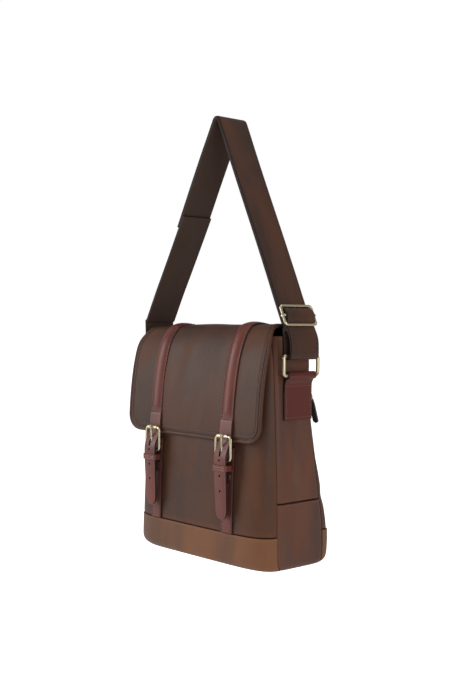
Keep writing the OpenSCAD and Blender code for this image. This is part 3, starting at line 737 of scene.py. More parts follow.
def make_body():
    finish_piece(wall_sheet("front_panel_hide", "front", BAND_H + 0.3, BODY_H, 0, 1),
                 BROWN, "case", ["front_panel"])
    finish_piece(wall_sheet("back_panel_hide", "back", BAND_H + 0.3, BODY_H, 0, 3),
                 BROWN, "case", ["back_panel"])
    for name, seed in (("front", 5), ("back", 7)):
        finish_piece(wall_sheet(name + "_band_hide", name, 0, BAND_H, 0.8, seed, cut_low=False,
                                thread_drop=3.0),
                     TAN, "case", [name + "_band"])
    for name, seed in (("left", 9), ("right", 11)):
        finish_piece(wall_sheet(f"gusset_{name}_hide", name, FOOT_H + 0.3, BODY_H, 0, seed),
                     GUSSET, "case", ["gusset_" + name])
        finish_piece(wall_sheet(f"gusset_foot_{name}_hide", name, 0, FOOT_H, 0.5, seed + 1,
                                cut_low=False, thread_drop=3.6),
                     GUSSET, "case", ["gusset_foot_" + name])


def ring_points(z, inset):
    count = RING_COUNT
    angle = np.linspace(0, 2 * math.pi, count, endpoint=False)
    r = radius_at(angle, np.full(count, float(z)), -inset)
    return settled(np.stack([r * np.cos(angle), r * np.sin(angle), 0 * r], -1))[:, :2]


def make_base():
    """Sewn base: a flat sole whose edge meets the rolled walls."""
    rings = [(0.0, 3.0), (0.0, 0.6), (0.25, 0.0), (1.2, -0.3), (2.2, -0.3)]
    loops = [np.column_stack([ring_points(0.01, inset), np.full(RING_COUNT, z)]) for z, inset in rings]
    points = np.concatenate(loops + [[[0, 0, 0.0], [0, 0, 2.4]]])
    faces = []
    count = RING_COUNT
    for k in range(len(loops) - 1):
        for i in range(count):
            j = (i + 1) % count
            faces.append((k * count + i, k * count + j, (k + 1) * count + j, (k + 1) * count + i))
    last = (len(loops) - 1) * count
    bottom, top = len(loops) * count, len(loops) * count + 1
    for i in range(count):
        j = (i + 1) % count
        faces += [(bottom, j, i), (top, last + i, last + j)]
    away = [3.0] * count + [0.6] * count + [0.0] * count * 3 + [60.0, -1.0]
    finish_piece(to_object("base_hide", points, faces, away, points[:, :2]), TAN, "case",
                 ["base_panel"])
    angle_ring = ring_points(8, 6)
    heights = (3.0, 4.7)
    layers = [np.column_stack([angle_ring, np.full(count, z)]) for z in heights]
    board = np.concatenate(layers + [[[0, 0, z] for z in heights]])
    sides = [(i, (i + 1) % count, count + (i + 1) % count, count + i) for i in range(count)]
    caps = [f for i in range(count) for f in ((2 * count, (i + 1) % count, i),
                                              (2 * count + 1, count + i, count + (i + 1) % count))]
    stiffener = to_object("base_stiffener", board, sides + caps, np.full(len(board), 20.0), board[:, :2])
    finish_piece(stiffener, CLOTH, "case", ["base_board"])


def make_lining():
    """Cotton lining: a sewn tube a little slack inside the walls, and its own floor."""
    z = np.linspace(low("lining", Z), BODY_H - 2, TUBE_ROWS)[:, None]
    angle = np.linspace(0, 2 * math.pi, TUBE_COLS)[None, :]
    zz = np.broadcast_to(z, (TUBE_ROWS, TUBE_COLS))
    r = radius_at(np.broadcast_to(angle, zz.shape), zz, -LINING_GAP)
    points = np.stack([r * np.cos(angle), r * np.sin(angle), zz], -1)
    inward = points[..., :2] / np.linalg.norm(points[..., :2], axis=-1, keepdims=True)
    slack = 0.7 + 0.6 * np.sin(angle * 23) * smooth(260, 60, zz)
    slack = slack * smooth(BODY_H - 2, BODY_H - 14, zz)
    points[..., :2] -= inward * slack[..., None]
    points[:, -1] = points[:, 0]
    points = settled(points)
    tube = hide_sheet("lining_wall", points, CLOTH_T, edge_r=CLOTH_EDGE_R, cut=(0, 0, 1, 1))
    finish_piece(tube, CLOTH, "case", ["lining"])
    floor_z = low("lining", Z)
    half_x, half_y = half_w(floor_z) - 9, 50.0
    gx, gy = np.meshgrid(np.linspace(-half_x, half_x, 60), np.linspace(-half_y, half_y, 30))
    gy = gy * (1 - 0.75 * np.abs(gx / half_x) ** 8)
    shape = np.stack([gx, gy, floor_z + 0.4 * np.sin(gx / 17) * np.cos(gy / 13)], -1)
    cloth = hide_sheet("lining_floor", settled(shape), CLOTH_T, edge_r=CLOTH_EDGE_R)
    finish_piece(cloth, CLOTH, "case")
    px, pz = np.meshgrid(np.linspace(-96, 96, 60), np.linspace(96, ZIP_Z + 4, 40))
    pouch = np.stack([px, face_y(1, px, pz, -4.9) - 0.5, pz], -1)
    pocket = hide_sheet("zip_pocket_pouch", pouch, CLOTH_T, edge_r=CLOTH_EDGE_R)
    finish_piece(pocket, CLOTH, "case", ["rear_pocket_bag"])


def face_band(name, side, x0, x1, z0, z1, off, thick, dome=0.0, step=2.0):
    """Strip lying on the front or back of the body."""
    xx, zz = np.meshgrid(stops(x0, x1, 1.4), stops(z0, z1, step))
    swell = dome * (1 - ((xx - (x0 + x1) / 2) / ((x1 - x0) / 2)) ** 2)
    yy = face_y(side, xx, zz, off + thick) + side * (swell + front_slack(xx, zz) * (side < 0))
    return hide_sheet(name, settled(np.stack([xx, yy, zz], -1)), thick, edge_r=0.7)


def on_face(side, x, z, off):
    x, z = np.broadcast_arrays(np.asarray(x, float), np.asarray(z, float))
    y = face_y(side, x, z, off) + side * front_slack(x, z) * (side < 0)
    return settled(np.stack([x, y, z], -1))


def make_front_straps():
    half = CLOSURE_W / 2 - 1
    for name, side in SIDES.items():
        z0, z1 = low("front_strap_" + name, Z) - 1.2, high("front_strap_" + name, Z)
        x = side * CLOSURE_X
        strap = face_band("front_strap_%s_hide" % name, -1, x - half, x + half, z0, z1, 0.6, 2.0, 0.5)
        finish_piece(strap, OXBLOOD, "case", ["front_strap_" + name])
        heights = np.linspace(z0 + 3, z1 - 3, 40)
        lines = [on_face(-1, x + s * (half - 2.2), heights, 2.95) for s in (-1, 1)]
        lines.append(on_face(-1, np.linspace(x - half + 2.2, x + half - 2.2, 8), z1 - 3, 2.95))
        stitches("front_strap_%s_stitches" % name, lines, "case")


# ------------------------------------------------------------------ flap

def bezier(points, count):
    p = np.asarray(points, float)
    t = np.linspace(0, 1, count)[:, None]
    return ((1 - t) ** 3 * p[0] + 3 * t * (1 - t) ** 2 * p[1] + 3 * t**2 * (1 - t) * p[2] + t**3 * p[3])


FOLD = (-34.0, 279.5)
LIFT = (27.2, 268.0)
FRONT_CURVE = [(-62, 148), (-61, 200), (-55, 261), FOLD]
CROWN_CURVE = [FOLD, (-17, 290), (14.5, 287), LIFT]
FLAP_SHOULDER_Z = 250.0
FLAP_NARROW_Z = 284.0


def flap_profile():
    """Middle line of the flap in the YZ plane, from its lower edge over the mouth to the back."""
    front = bezier(FRONT_CURVE, 90)
    crown = bezier(CROWN_CURVE, 70)[1:]
    back_z = np.linspace(LIFT[1] - 8, YOKE_LOW, 14)
    back_y = face_y(1, np.zeros_like(back_z), back_z, 1.9)
    line = np.concatenate([front, crown, np.stack([back_y, back_z], -1)])
    line = softened(line, 2)
    return resampled(line, 1.0)


FLAP_LINE = flap_profile()
FLAP_RUN = run_along(FLAP_LINE)
FLAP_TURN = tangents(FLAP_LINE)
FLAP_OUT = np.stack([-FLAP_TURN[:, 1], FLAP_TURN[:, 0]], -1)
CROWN_RUN = FLAP_RUN[np.argmax(FLAP_LINE[:, 1])]
FLAP_END = FLAP_RUN[-1]


def run_at_height(z):
    """Distance along the front of the flap at which it reaches height z."""
    rising = FLAP_RUN <= CROWN_RUN
    return float(np.interp(z, FLAP_LINE[rising, 1], FLAP_RUN[rising]))


FALLING = FLAP_RUN >= CROWN_RUN
LIFT_RUN = float(np.interp(-LIFT[1], -FLAP_LINE[FALLING, 1], FLAP_RUN[FALLING]))
SAG_FROM, SAG_FULL = run_at_height(252), run_at_height(278)


def flap_sag(x, s):
    """The empty mouth lets the crown sink, more on the left than on the right."""
    over = smooth(SAG_FROM, SAG_FULL, s) * smooth(LIFT_RUN - 4, LIFT_RUN - 26, s)
    hollow = smooth(SAG_FULL, CROWN_RUN + 14, s) * smooth(LIFT_RUN - 2, LIFT_RUN - 20, s)
    return (1.6 - 2.8 * x / FLAP_HALF) * over + 4.5 * hollow


def flap_half(s):
    """Half width of the flap at distance s from its lower edge."""
    shoulder, narrow = run_at_height(FLAP_SHOULDER_Z), run_at_height(FLAP_NARROW_Z)
    half = FLAP_HALF - (FLAP_HALF - FLAP_TOP_HALF) * smooth(shoulder, narrow, s)
    corner = np.clip(FLAP_CORNER - s, 0, FLAP_CORNER)
    return half - FLAP_CORNER + np.sqrt(FLAP_CORNER**2 - corner**2)


def flap_point(x, s, off):
    """Point on the flap: off is measured out from the middle line."""
    x, s = np.broadcast_arrays(np.asarray(x, float), np.asarray(s, float))
    y = np.interp(s, FLAP_RUN, FLAP_LINE[:, 0])
    z = np.interp(s, FLAP_RUN, FLAP_LINE[:, 1])
    ny = np.interp(s, FLAP_RUN, FLAP_OUT[:, 0])
    nz = np.interp(s, FLAP_RUN, FLAP_OUT[:, 1])
    share = np.abs(x) / FLAP_HALF
    lay = off - 1.6 * share**4 + 0.5 * np.cos(x / 31 + 0.6) * smooth(0, 60, s) * (1 - share**4)
    spread = 6.5 * smooth(-78, -FLAP_HALF, x)
    return np.stack([x - spread, y + ny * lay, z + nz * lay - flap_sag(x, s)], -1)


def flap_sheet(name, s0, s1, cut):
    inset = 3.0
    s = stops(s0, s1, 2.6)
    if s0 == 0:
        s = stops(inset, s1, 2.6)
        near = np.linspace(0, 1, 10) ** 2
        s = np.unique(np.concatenate([inset + near * (FLAP_CORNER - inset), s]))
    share = 2 * spaced(2 * FLAP_HALF, 3.0) - 1
    ss, uu = np.meshgrid(s, share, indexing="ij")
    xx = uu * (flap_half(np.maximum(ss - inset * (s0 == 0) * 0.5, 0.0)) - inset)
    grid = flap_point(xx, ss, FLAP_T / 2)
    wave = ripple(grid, 55, 0.7, 21) + ripple(grid, 20, 0.2, 22)
    grid = grid + (outward_normals(grid) * (wave * smooth(0, 14, FLAP_HALF - np.abs(xx)))[..., None])
    return hide_sheet(name, grid, FLAP_T - 0.4, edge_r=0.5, cut=cut)


def bind_profile():
    """Section of the folded binding: a rolled bead at the edge and a flat sewn lip inside it."""
    bead = [(1.3 - 2.2 * math.sin(math.pi * k / 12), 2.25 * math.cos(math.pi * k / 12)) for k in range(13)]
    upper = [(8.8, 1.2), (8.5, 1.9), (7.4, 2.2), (5.4, 2.0), (4.2, 1.8), (3.4, 1.15), (2.5, 1.7)]
    lower = [(x, -y) for x, y in reversed(upper)]
    return np.array(upper + bead + lower)


def binding_path(s0, s1):
    """Points of the flap's outline: (x, s) pairs from the left end round to the right end."""
    right = []
    if s0 == 0:
        xs = np.linspace(0, FLAP_HALF - FLAP_CORNER, 40)
        right += [(x, 0.0) for x in xs[:-1]]
        for k in range(15):
            turn = math.pi / 2 * k / 14
            right.append((FLAP_HALF - FLAP_CORNER + FLAP_CORNER * math.sin(turn),
                          FLAP_CORNER * (1 - math.cos(turn))))
        s0 = FLAP_CORNER + 2.0
    right += [(float(flap_half(s)), s) for s in np.arange(s0, s1 + 0.01, 2.0)]
    return right


def bind(name, pairs, nodes):
    x, s = np.array(pairs).T
    outline = flap_point(x, s, 0)
    along = tangents(outline)
    lift = flap_point(x, s, 1.0) - outline
    inward = np.cross(along, lift)
    inward /= np.linalg.norm(inward, axis=1, keepdims=True)
    towards = np.stack([-x, 0 * x, 0 * x], -1) + np.array([0, 0, 60.0]) * (s < FLAP_CORNER)[:, None]
    if (inward * towards).sum() < 0:
        inward = -inward
    profile = bind_profile()
    # Each profile point's distance from the cut edge; the groove between bead and lip is given 0.1, so the
    # dark rim colour paints shade into the groove.
    marks = np.concatenate([[0.9, 0.4, 3.0, 4.0, 2.4, 0.1, 0.7], np.full(13, 1.2), np.full(7, -1.0)])
    piece = swept(name, outline, inward, lift, profile, marks)
    finish_piece(piece, BINDING, None, nodes)
    return piece


def crossing_blend(piece, part):
    """Bakes a flap piece's placement into its mesh; the front and the back part are treated alike."""
    if part == "front":
        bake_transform(piece)
    else:
        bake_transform(piece)


def row(yz, x=0.0, shift=(0, 0)):
    return tuple(np.array([x, yz[0] + shift[0], yz[1] + shift[1]]) * MM + BASE)


def make_flap():
    hide = flap_sheet("flap_hide", 0, CROWN_RUN, (1, 1, 1, 0))
    finish_piece(hide, BROWN, None, ["flap_panel", "flap_lining"])
    crossing_blend(hide, "front")
    back = flap_sheet("flap_back_hide", CROWN_RUN, FLAP_END, (1, 1, 0, 1))
    finish_piece(back, BROWN, None, ["flap_top_panel", "flap_top_lining", "flap_yoke"])
    crossing_blend(back, "back")
    half_line = binding_path(0, CROWN_RUN)
    pairs = [(-x, s) for x, s in half_line[:0:-1]] + half_line
    crossing_blend(bind("flap_edge_binding", pairs, ["flap_binding"]), "front")
    for name, side in SIDES.items():
        pairs = [(side * x, s) for x, s in binding_path(CROWN_RUN, FLAP_END)]
        nodes = ["flap_top_binding"] if side == RIGHT else []
        crossing_blend(bind(f"flap_edge_back_{name}", pairs, nodes), "back")
    inset = 7.4
    inner = [(x * (1 - inset / FLAP_HALF), s + inset * (s < FLAP_CORNER) * (1 - s / FLAP_CORNER))
             for x, s in half_line]
    line = [(-x, s) for x, s in inner[:0:-1]] + inner
    x, s = np.array(line).T
    threads = stitches("flap_edge_stitches", [flap_point(x, s, 2.05)], None, DARK_THREAD, pitch=3.8,
                       length=2.7, radius=0.26)
    crossing_blend(threads, "front")


def strap_on_flap(name, x, s0, s1, part, nodes):
    """Raised strap: a sewn flange on each side of a domed middle, faded out towards its lower end."""
    s = np.linspace(s0, s1, max(8, int((s1 - s0) / 2)))
    centre = flap_point(np.full_like(s, x), s, FLAP_T / 2 - 0.2)
    lift = flap_point(np.full_like(s, x), s, 1.0) - flap_point(np.full_like(s, x), s, 0.0)
    lift /= np.linalg.norm(lift, axis=1, keepdims=True)
    side = np.tile([1.0, 0, 0], (len(s), 1))
    flat, marks = strap_profile(CLOSURE_W, 1.9, 0.0, edge_r=0.6)
    domed, _ = strap_profile(CLOSURE_W, 1.9, 2.8, CLOSURE_W / 2 - 2.4, edge_r=0.6)
    if part == "front":
        rise = smooth(s0 + 2, s0 + 10, s) * (1 - 0.5 * smooth(SAG_FROM, CROWN_RUN, s))
    else:
        rise = 0.5 * smooth(s1 - 4, s1 - 14, s)
    piece = swept(name, centre, side, lift, flat, marks)
    ring = len(flat)
    coords = np.empty(len(piece.data.vertices) * 3)
    piece.data.vertices.foreach_get("co", coords)
    coords = coords.reshape(len(s), ring, 3)
    swell = (domed[:, 1] - flat[:, 1])[None, :, None] * rise[:, None, None]
    coords += swell * lift[:, None] * MM
    piece.data.vertices.foreach_set("co", coords.ravel())
    piece.data.update()
    finish_piece(piece, OXBLOOD, None, nodes)
    crossing_blend(piece, part)
    rows = [flap_point(np.full_like(s, x + k * (CLOSURE_W / 2 - 1.5)), s, FLAP_T / 2 + 1.75) for k in (-1, 1)]
    if part == "front":
        cross = np.linspace(x - CLOSURE_W / 2 + 1.6, x + CLOSURE_W / 2 - 1.6, 9)
        rows.append(flap_point(cross, np.full_like(cross, s0 + 1.8), FLAP_T / 2 + 1.75))
    threads = stitches(name.replace("_hide", "_stitches"), rows, None)
    crossing_blend(threads, part)


STRAP_LAP_Z = 171.0


def make_flap_straps():
    for name, side in SIDES.items():
        x = side * CLOSURE_X
        start = run_at_height(STRAP_LAP_Z)
        strap_on_flap(f"flap_strap_{name}_hide", x, start, CROWN_RUN, "front", ["flap_strap_" + name])
        strap_on_flap(f"top_strap_{name}_hide", x, CROWN_RUN, FLAP_END - 5, "back", ["top_strap_" + name])


# ------------------------------------------------------------------ closures

HOLE_HEIGHTS, HOLE_R = (126.5, 108.5, 90.5), 1.4
PRONG_SLOT, SLOT_HALF_W = (130.4, 143.4), 1.9


def tongue_line():
    """Middle line of the closure strap in the YZ plane: off the flap, through the buckle, to the tip."""
    top_s = run_at_height(STRAP_LAP_Z + 1.5)
    start = flap_point(0, top_s, FLAP_T / 2 + 0.9)
    under_y = BAR_Y + 2.4 + 0.2 + 1.1
    front_y = BAR_Y - 1.7 - 1.4 - 0.3 - 1.1
    return softened([(start[1], start[2]), (under_y + 0.2, 160.0), (under_y, 151), (under_y - 1.6, 146),
                     (front_y + 1.1, 135.5), (front_y - 0.2, 129), (front_y, 119), (front_y + 1.2, 95),
                     (front_y + 2.2, 76), (front_y + 2.9, TONGUE_TIP_Z)], 3)


def punch(piece, x, heights, radius, slot):
    """Cuts the punched holes, and the prong's slot, right through the strap."""
    cutters = []
    for z in heights:
        bpy.ops.mesh.primitive_cylinder_add(vertices=20, radius=radius * MM, depth=0.02)
        cutters.append(bpy.context.object)
        cutters[-1].data.transform(Matrix.Rotation(math.pi / 2, 4, "X"))
        cutters[-1].data.transform(Matrix.Translation(np.array([x, BAR_Y - 4, z]) * MM + BASE))
    mid, half = (slot[0] + slot[1]) / 2, (slot[1] - slot[0]) / 2
    bpy.ops.mesh.primitive_cylinder_add(vertices=24, radius=MM, depth=0.02)
    cutters.append(bpy.context.object)
    cutters[-1].data.transform(Matrix.Diagonal((SLOT_HALF_W, half, 1.0, 1.0)))
    cutters[-1].data.transform(Matrix.Rotation(math.pi / 2, 4, "X"))
    cutters[-1].data.transform(Matrix.Translation(np.array([x, BAR_Y - 4, mid]) * MM + BASE))
    for cutter in cutters:
        modifier = piece.modifiers.new("punch", "BOOLEAN")
        modifier.operation = "DIFFERENCE"
        modifier.solver = "EXACT"
        modifier.object = cutter
        bpy.context.view_layer.objects.active = piece
        bpy.ops.object.modifier_apply(modifier=modifier.name)
        bpy.data.objects.remove(cutter)


def make_tongue(name, side):
    x = side * CLOSURE_X
    line = resampled(tongue_line(), 1.2)
    run = run_along(line)
    left = run[-1] - run
    tip_r = 12.0
    half = CLOSURE_W / 2 - 0.9 * smooth(60, 0, left)
    tip = np.clip(1 - left / tip_r, 0, 1)
    half = half * np.sqrt(np.maximum(1 - tip**2.2, 0.0008))
    turn = tangents(line)
    out = np.stack([turn[:, 1], -turn[:, 0]], -1)
    share = 2 * spaced(CLOSURE_W, 1.0) - 1
    crown = 0.7 * smooth(170, 120, line[:, 1])
    bulge = (crown[:, None] * (1 - share[None, :] ** 2)) * (half / half.max())[:, None]
    off = 1.1 + bulge
    groove = -0.35 * np.exp(-((((1 - np.abs(share[None, :])) * half[:, None]) - 2.3) / 0.5) ** 2)
    off = off + groove * smooth(134, 126, line[:, 1])[:, None]
    grid = np.stack([x + share[None, :] * half[:, None],
                     line[:, None, 0] + out[:, None, 0] * off,
                     line[:, None, 1] + out[:, None, 1] * off], -1)
    piece = hide_sheet(f"tongue_{name}_hide", grid, 2.2, edge_r=0.6)
    punch(piece, x, HOLE_HEIGHTS, HOLE_R, PRONG_SLOT)
    piece.data.shade_smooth()
    piece.data.set_sharp_from_angle(angle=math.radians(40))
    finish_piece(piece, OXBLOOD, None, ["tongue_" + name])
    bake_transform(piece)
    path = np.concatenate([[(BAR_Y - 2.5, HINGE_Z - 6.0)],
                           [(BAR_Y + 2.45 * math.sin(a), HINGE_Z + 2.45 * math.cos(a))
                            for a in np.linspace(-math.pi / 2, math.pi / 2, 12)],
                           [(BAR_Y + 2.4, HINGE_Z - 10), (BAR_Y + 2.3, low("under_tab_" + name, Z))]])
    path = resampled(path, 0.9)
    turn = tangents(path)
    out3 = np.stack([0 * path[:, 0], -turn[:, 1], turn[:, 0]], -1)
    centre = np.stack([np.full(len(path), x), path[:, 0], path[:, 1]], -1)
    profile, marks = strap_profile(width("under_tab_" + name, X) - 0.4, 1.3, 0.0, edge_r=0.4, steps=10)
    profile[:, 1] -= 0.65
    tab = swept(f"under_tab_{name}_hide", centre, np.tile([1.0, 0, 0], (len(path), 1)), out3, profile, marks)
    finish_piece(tab, OXBLOOD, "closure_" + name, ["under_tab_" + name])


def make_keeper(name, side):
    x = side * CLOSURE_X
    node_name = "keeper_" + name
    z = middle(node_name, Z)
    y0, y1 = low(node_name, Y) + 0.5, high(node_name, Y) - 0.5
    half, r = width(node_name, X) / 2 - 0.6, 1.6
    corners = [(half - r, y1 - r, 0), (-half + r, y1 - r, 1), (-half + r, y0 + r, 2), (half - r, y0 + r, 3)]
    points = []
    for cx, cy, quarter in corners:
        for k in range(7):
            a = math.pi / 2 * (quarter + k / 6)
            points.append((x + cx + r * math.cos(a), cy + r * math.sin(a)))
    ring = resampled(np.array(points + points[:1]), 1.0)[:-1]
    turn = np.roll(ring, -1, axis=0) - np.roll(ring, 1, axis=0)
    turn /= np.linalg.norm(turn, axis=1, keepdims=True)
    lift = np.stack([turn[:, 1], -turn[:, 0], 0 * turn[:, 0]], -1)
    centre = np.stack([ring[:, 0], ring[:, 1], np.full(len(ring), z)], -1)
    h = width(node_name, Z) / 2 - 0.1
    a = np.linspace(-h, h, 17)
    ridges = 0.62 + 0.22 * np.cos(a / h * math.pi * 2.5) * (np.abs(a) < h - 0.3)
    ridges[[0, -1]] = 0.25
    profile = np.concatenate([np.stack([a, ridges], -1), [(h, -0.5), (-h, -0.5)]])
    marks = np.concatenate([h - np.abs(a) + 0.3, [-1.0, -1.0]])
    piece = swept(f"keeper_{name}_hide", centre, np.tile([0, 0, 1.0], (len(ring), 1)), lift, profile, marks,
                  loop=True)
    finish_piece(piece, OXBLOOD, "closure_" + name, [node_name])


def make_closures():
    for name, side in SIDES.items():
        make_tongue(name, side)
        make_keeper(name, side)


# ------------------------------------------------------------------ shoulder strap

def leg_at(side, z):
    slope = LEG_SLOPE[side]
    top = CREST + CREST_R * np.array([side * math.cos(slope), math.sin(slope)])
    lean = -4.5 * float(smooth(430, 300, z)) if side == LEFT else 0.0
    return np.array([top[0] + side * (top[1] - z) * math.tan(slope) + lean, z])


def crest_arc():
    start, end = math.pi - LEG_SLOPE[LEFT], LEG_SLOPE[RIGHT]
    return [tuple(CREST + CREST_R * np.array([math.cos(a), math.sin(a)]))
            for a in np.linspace(start, end, 14)]


def sway(line):
    """Slack of the strap across its width: a slow lean that goes to nothing at the crest and hardware."""
    z = line[:, 1]
    return 1.2 * np.sin((z - 300) / 236 * math.pi * 2) * smooth(300, 340, z) * smooth(530, 490, z)


def xz_band(name, corners, wide, thick, rounds=0, step=3.0, dome=0.0, edge_r=0.8):
    """Strap whose flat face looks along its path's normal in the XZ plane, wide along Y."""
    line = softened(corners, rounds) if rounds else np.asarray(corners, float)
    line = resampled(line, step)
    turn = tangents(line)
    lift2 = np.stack([-turn[:, 1], turn[:, 0]], -1)
    shift = sway(line)
    centre = np.stack([line[:, 0], STRAP_Y + shift * 0.4, line[:, 1]], -1)
    lift = np.stack([lift2[:, 0], 0 * shift, lift2[:, 1]], -1)
    profile, marks = strap_profile(wide, thick, dome, edge_r=edge_r, steps=18)
    profile[:, 1] -= thick / 2
    side = np.tile([0, 1.0, 0], (len(line), 1))
    return swept(name, centre, side, lift, profile, marks), centre, lift


def strap_stitches(name, centre, lift, wide, off, body, ends=(0, 0), material=DARK_THREAD):
    keep = slice(ends[0], len(centre) - ends[1])
    rows = []
    for k in (-1, 1):
        rows.append(centre[keep] + lift[keep] * off + np.array([0, k * (wide / 2 - 3.2), 0]))
    return stitches(name, rows, body, material, pitch=4.6, length=3.2, radius=0.3)


def make_shoulder_strap():
    left_end = leg_at(LEFT, SPLICE_Z - 14)
    right_end = leg_at(RIGHT, 276.0)
    line = [tuple(left_end)] + crest_arc() + [tuple(right_end)]
    piece, centre, lift = xz_band("shoulder_strap_hide", line, STRAP_W, STRAP_T, step=3.0)
    finish_piece(piece, STRAP, "strap", ["shoulder_strap"])
    strap_stitches("shoulder_strap_stitches", centre, lift, STRAP_W, STRAP_T / 2 + 0.02, "strap", (2, 6))
    tail_top = leg_at(LEFT, SPLICE_Z)
    kink = leg_at(LEFT, 286.0)
    tail = [tuple(tail_top), tuple(leg_at(LEFT, 330.0)), tuple(kink + np.array([0.4, 0]))]
    tail = [(x + 3.1 if z < SPLICE_Z + 1 else x, z) for x, z in tail]
    piece, _, _ = xz_band("strap_tail_left_hide", tail[::-1], STRAP_W, 3.4, step=3.0)
    finish_piece(piece, STRAP, "strap", ["strap_tail_left"])


def make_strap_loops():
    """Ends of the strap folded round the rings' upper bars and sewn back on themselves."""
    bottom = low("strap_loop_right", Z) + 1.2
    out, inn = RING_X + 5.6, RING_X - 5.6
    right = [tuple(leg_at(RIGHT, 284.0) + (-1.0, 0)), (inn - 1.2, 268), (inn, 258), (inn, bottom + 3),
             (inn + 2, bottom), (out - 2, bottom), (out, bottom + 3), (out + 0.2, 256), (out - 0.6, 268),
             tuple(leg_at(RIGHT, 283.0) + (3.9, 0))]
    piece, centre, _ = xz_band("strap_loop_right_hide", right[::-1], STRAP_W, 2.4, rounds=2, step=1.6)
    finish_piece(piece, STRAP, "strap", ["strap_loop_right"])
    edge = STRAP_W / 2 - 4.5
    low_z, high_z = 252.0, 272.0
    outside = centre[centre[:, 0] > RING_X][::-1]

    def thread_at(y, z):
        return (np.interp(z, outside[:, 2], outside[:, 0]) + 1.3, STRAP_Y + y, z)

    box = [[thread_at(y, z) for y in np.linspace(-edge, edge, 12)] for z in (high_z, low_z)]
    box += [[thread_at(y, z) for z in np.linspace(low_z, high_z, 10)] for y in (-edge, edge)]
    stitches("strap_loop_right_stitches", box, "strap", DARK_THREAD)
    left = [(-inn - 3.5, 276), (-inn - 0.5, 266), (-inn, 256), (-inn, bottom + 3), (-inn - 2, bottom),
            (-out + 2, bottom), (-out, bottom + 3), (-out - 0.4, 258), (-out - 1.4, 270),
            tuple(leg_at(LEFT, 288.0) + (0.5, 0))]
    piece, _, _ = xz_band("strap_loop_left_hide", left, STRAP_W, 2.4, rounds=2, step=1.6)
    finish_piece(piece, STRAP, "strap", ["strap_loop_left"])


def make_slider_hump():
    """Strap leather that swells through the slider's window over its centre bar."""
    slope = LEG_SLOPE[RIGHT]
    centre_z = middle("slider_center_bar", Z)
    along = np.array([-math.sin(slope), math.cos(slope)])
    out = np.array([math.cos(slope), math.sin(slope)])
    bar = np.array([middle("slider_center_bar", X), centre_z])
    line = []
    for t in np.linspace(-1, 1, 25):
        rise = 3.6 * math.cos(t * math.pi / 2) ** 0.8 - 4.3 * (1 - math.cos(t * math.pi / 2) ** 0.8)
        line.append(tuple(bar + along * t * 11.5 + out * rise))
    piece, _, _ = xz_band("slider_hump_hide", line[::-1], STRAP_W, 2.3, step=1.0)
    finish_piece(piece, STRAP, "slider", ["slider_hump"])


# ------------------------------------------------------------------ tabs that hold the rings

def make_tab(name, side):
    """One leather piece: sewn to the gusset, rolled round the ring's lower bar and back down."""
    patch = "tab_patch_" + name
    z0 = low(patch, Z)
    bar = np.array([RING_X, RING_BAR_LOW])
    r = RING_BAR_R + 0.1 + 1.1

    def skin(z):
        return float(side_x(np.array(STRAP_Y), np.array(float(z)), 0.0))

    outer = [(skin(z0) + 1.9, z0), (skin(190) + 2.0, 190), (skin(212) + 2.3, 212), (skin(217) + 2.9, 217.5)]
    roll = [(bar[0] + r * math.cos(a), bar[1] + r * math.sin(a))
            for a in np.linspace(-1.75, math.pi + 0.5, 20)]
    inner = [(skin(214) + 1.9, 214), (skin(206) + 1.0, 206)]
    line = resampled(np.concatenate([softened(outer + [roll[0]], 2)[:-1], roll,
                                     softened([roll[-1]] + inner, 1)[1:]]), 0.9)
    turn = tangents(line)
    lift = np.stack([side * turn[:, 1], 0 * turn[:, 0], -turn[:, 0]], -1)
    centre = np.stack([side * line[:, 0], np.full(len(line), STRAP_Y), line[:, 1]], -1)
    profile, marks = strap_profile(STRAP_W - 1.0, 2.2, 0.0, edge_r=0.8, steps=16)
    profile[:, 1] -= 1.1
    piece = swept(f"tab_{name}_hide", centre, np.tile([0, 1.0, 0], (len(line), 1)), lift, profile, marks)
    finish_piece(piece, PATCH, None, [patch, "tab_loop_" + name])
    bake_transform(piece)
    half = STRAP_W / 2 - 3.4
    rows = []
    for y in (-half, half):
        zs = np.linspace(z0 + 3, 213, 16)
        rows.append([(side * (skin(z) + 3.15 + 0.3 * float(smooth(200, 212, z))), STRAP_Y + y, z)
                     for z in zs])
    for z, lift_mm in ((z0 + 3, -0.1), (213, 0.3)):
        rows.append([(side * (skin(z) + 3.2 + lift_mm), STRAP_Y + y, z)
                     for y in np.linspace(-half, half, 12)])
    stitches(f"tab_{name}_stitches", rows, "case", PALE_THREAD, pitch=3.6, length=2.2, radius=0.27)


# ------------------------------------------------------------------ zip on the back

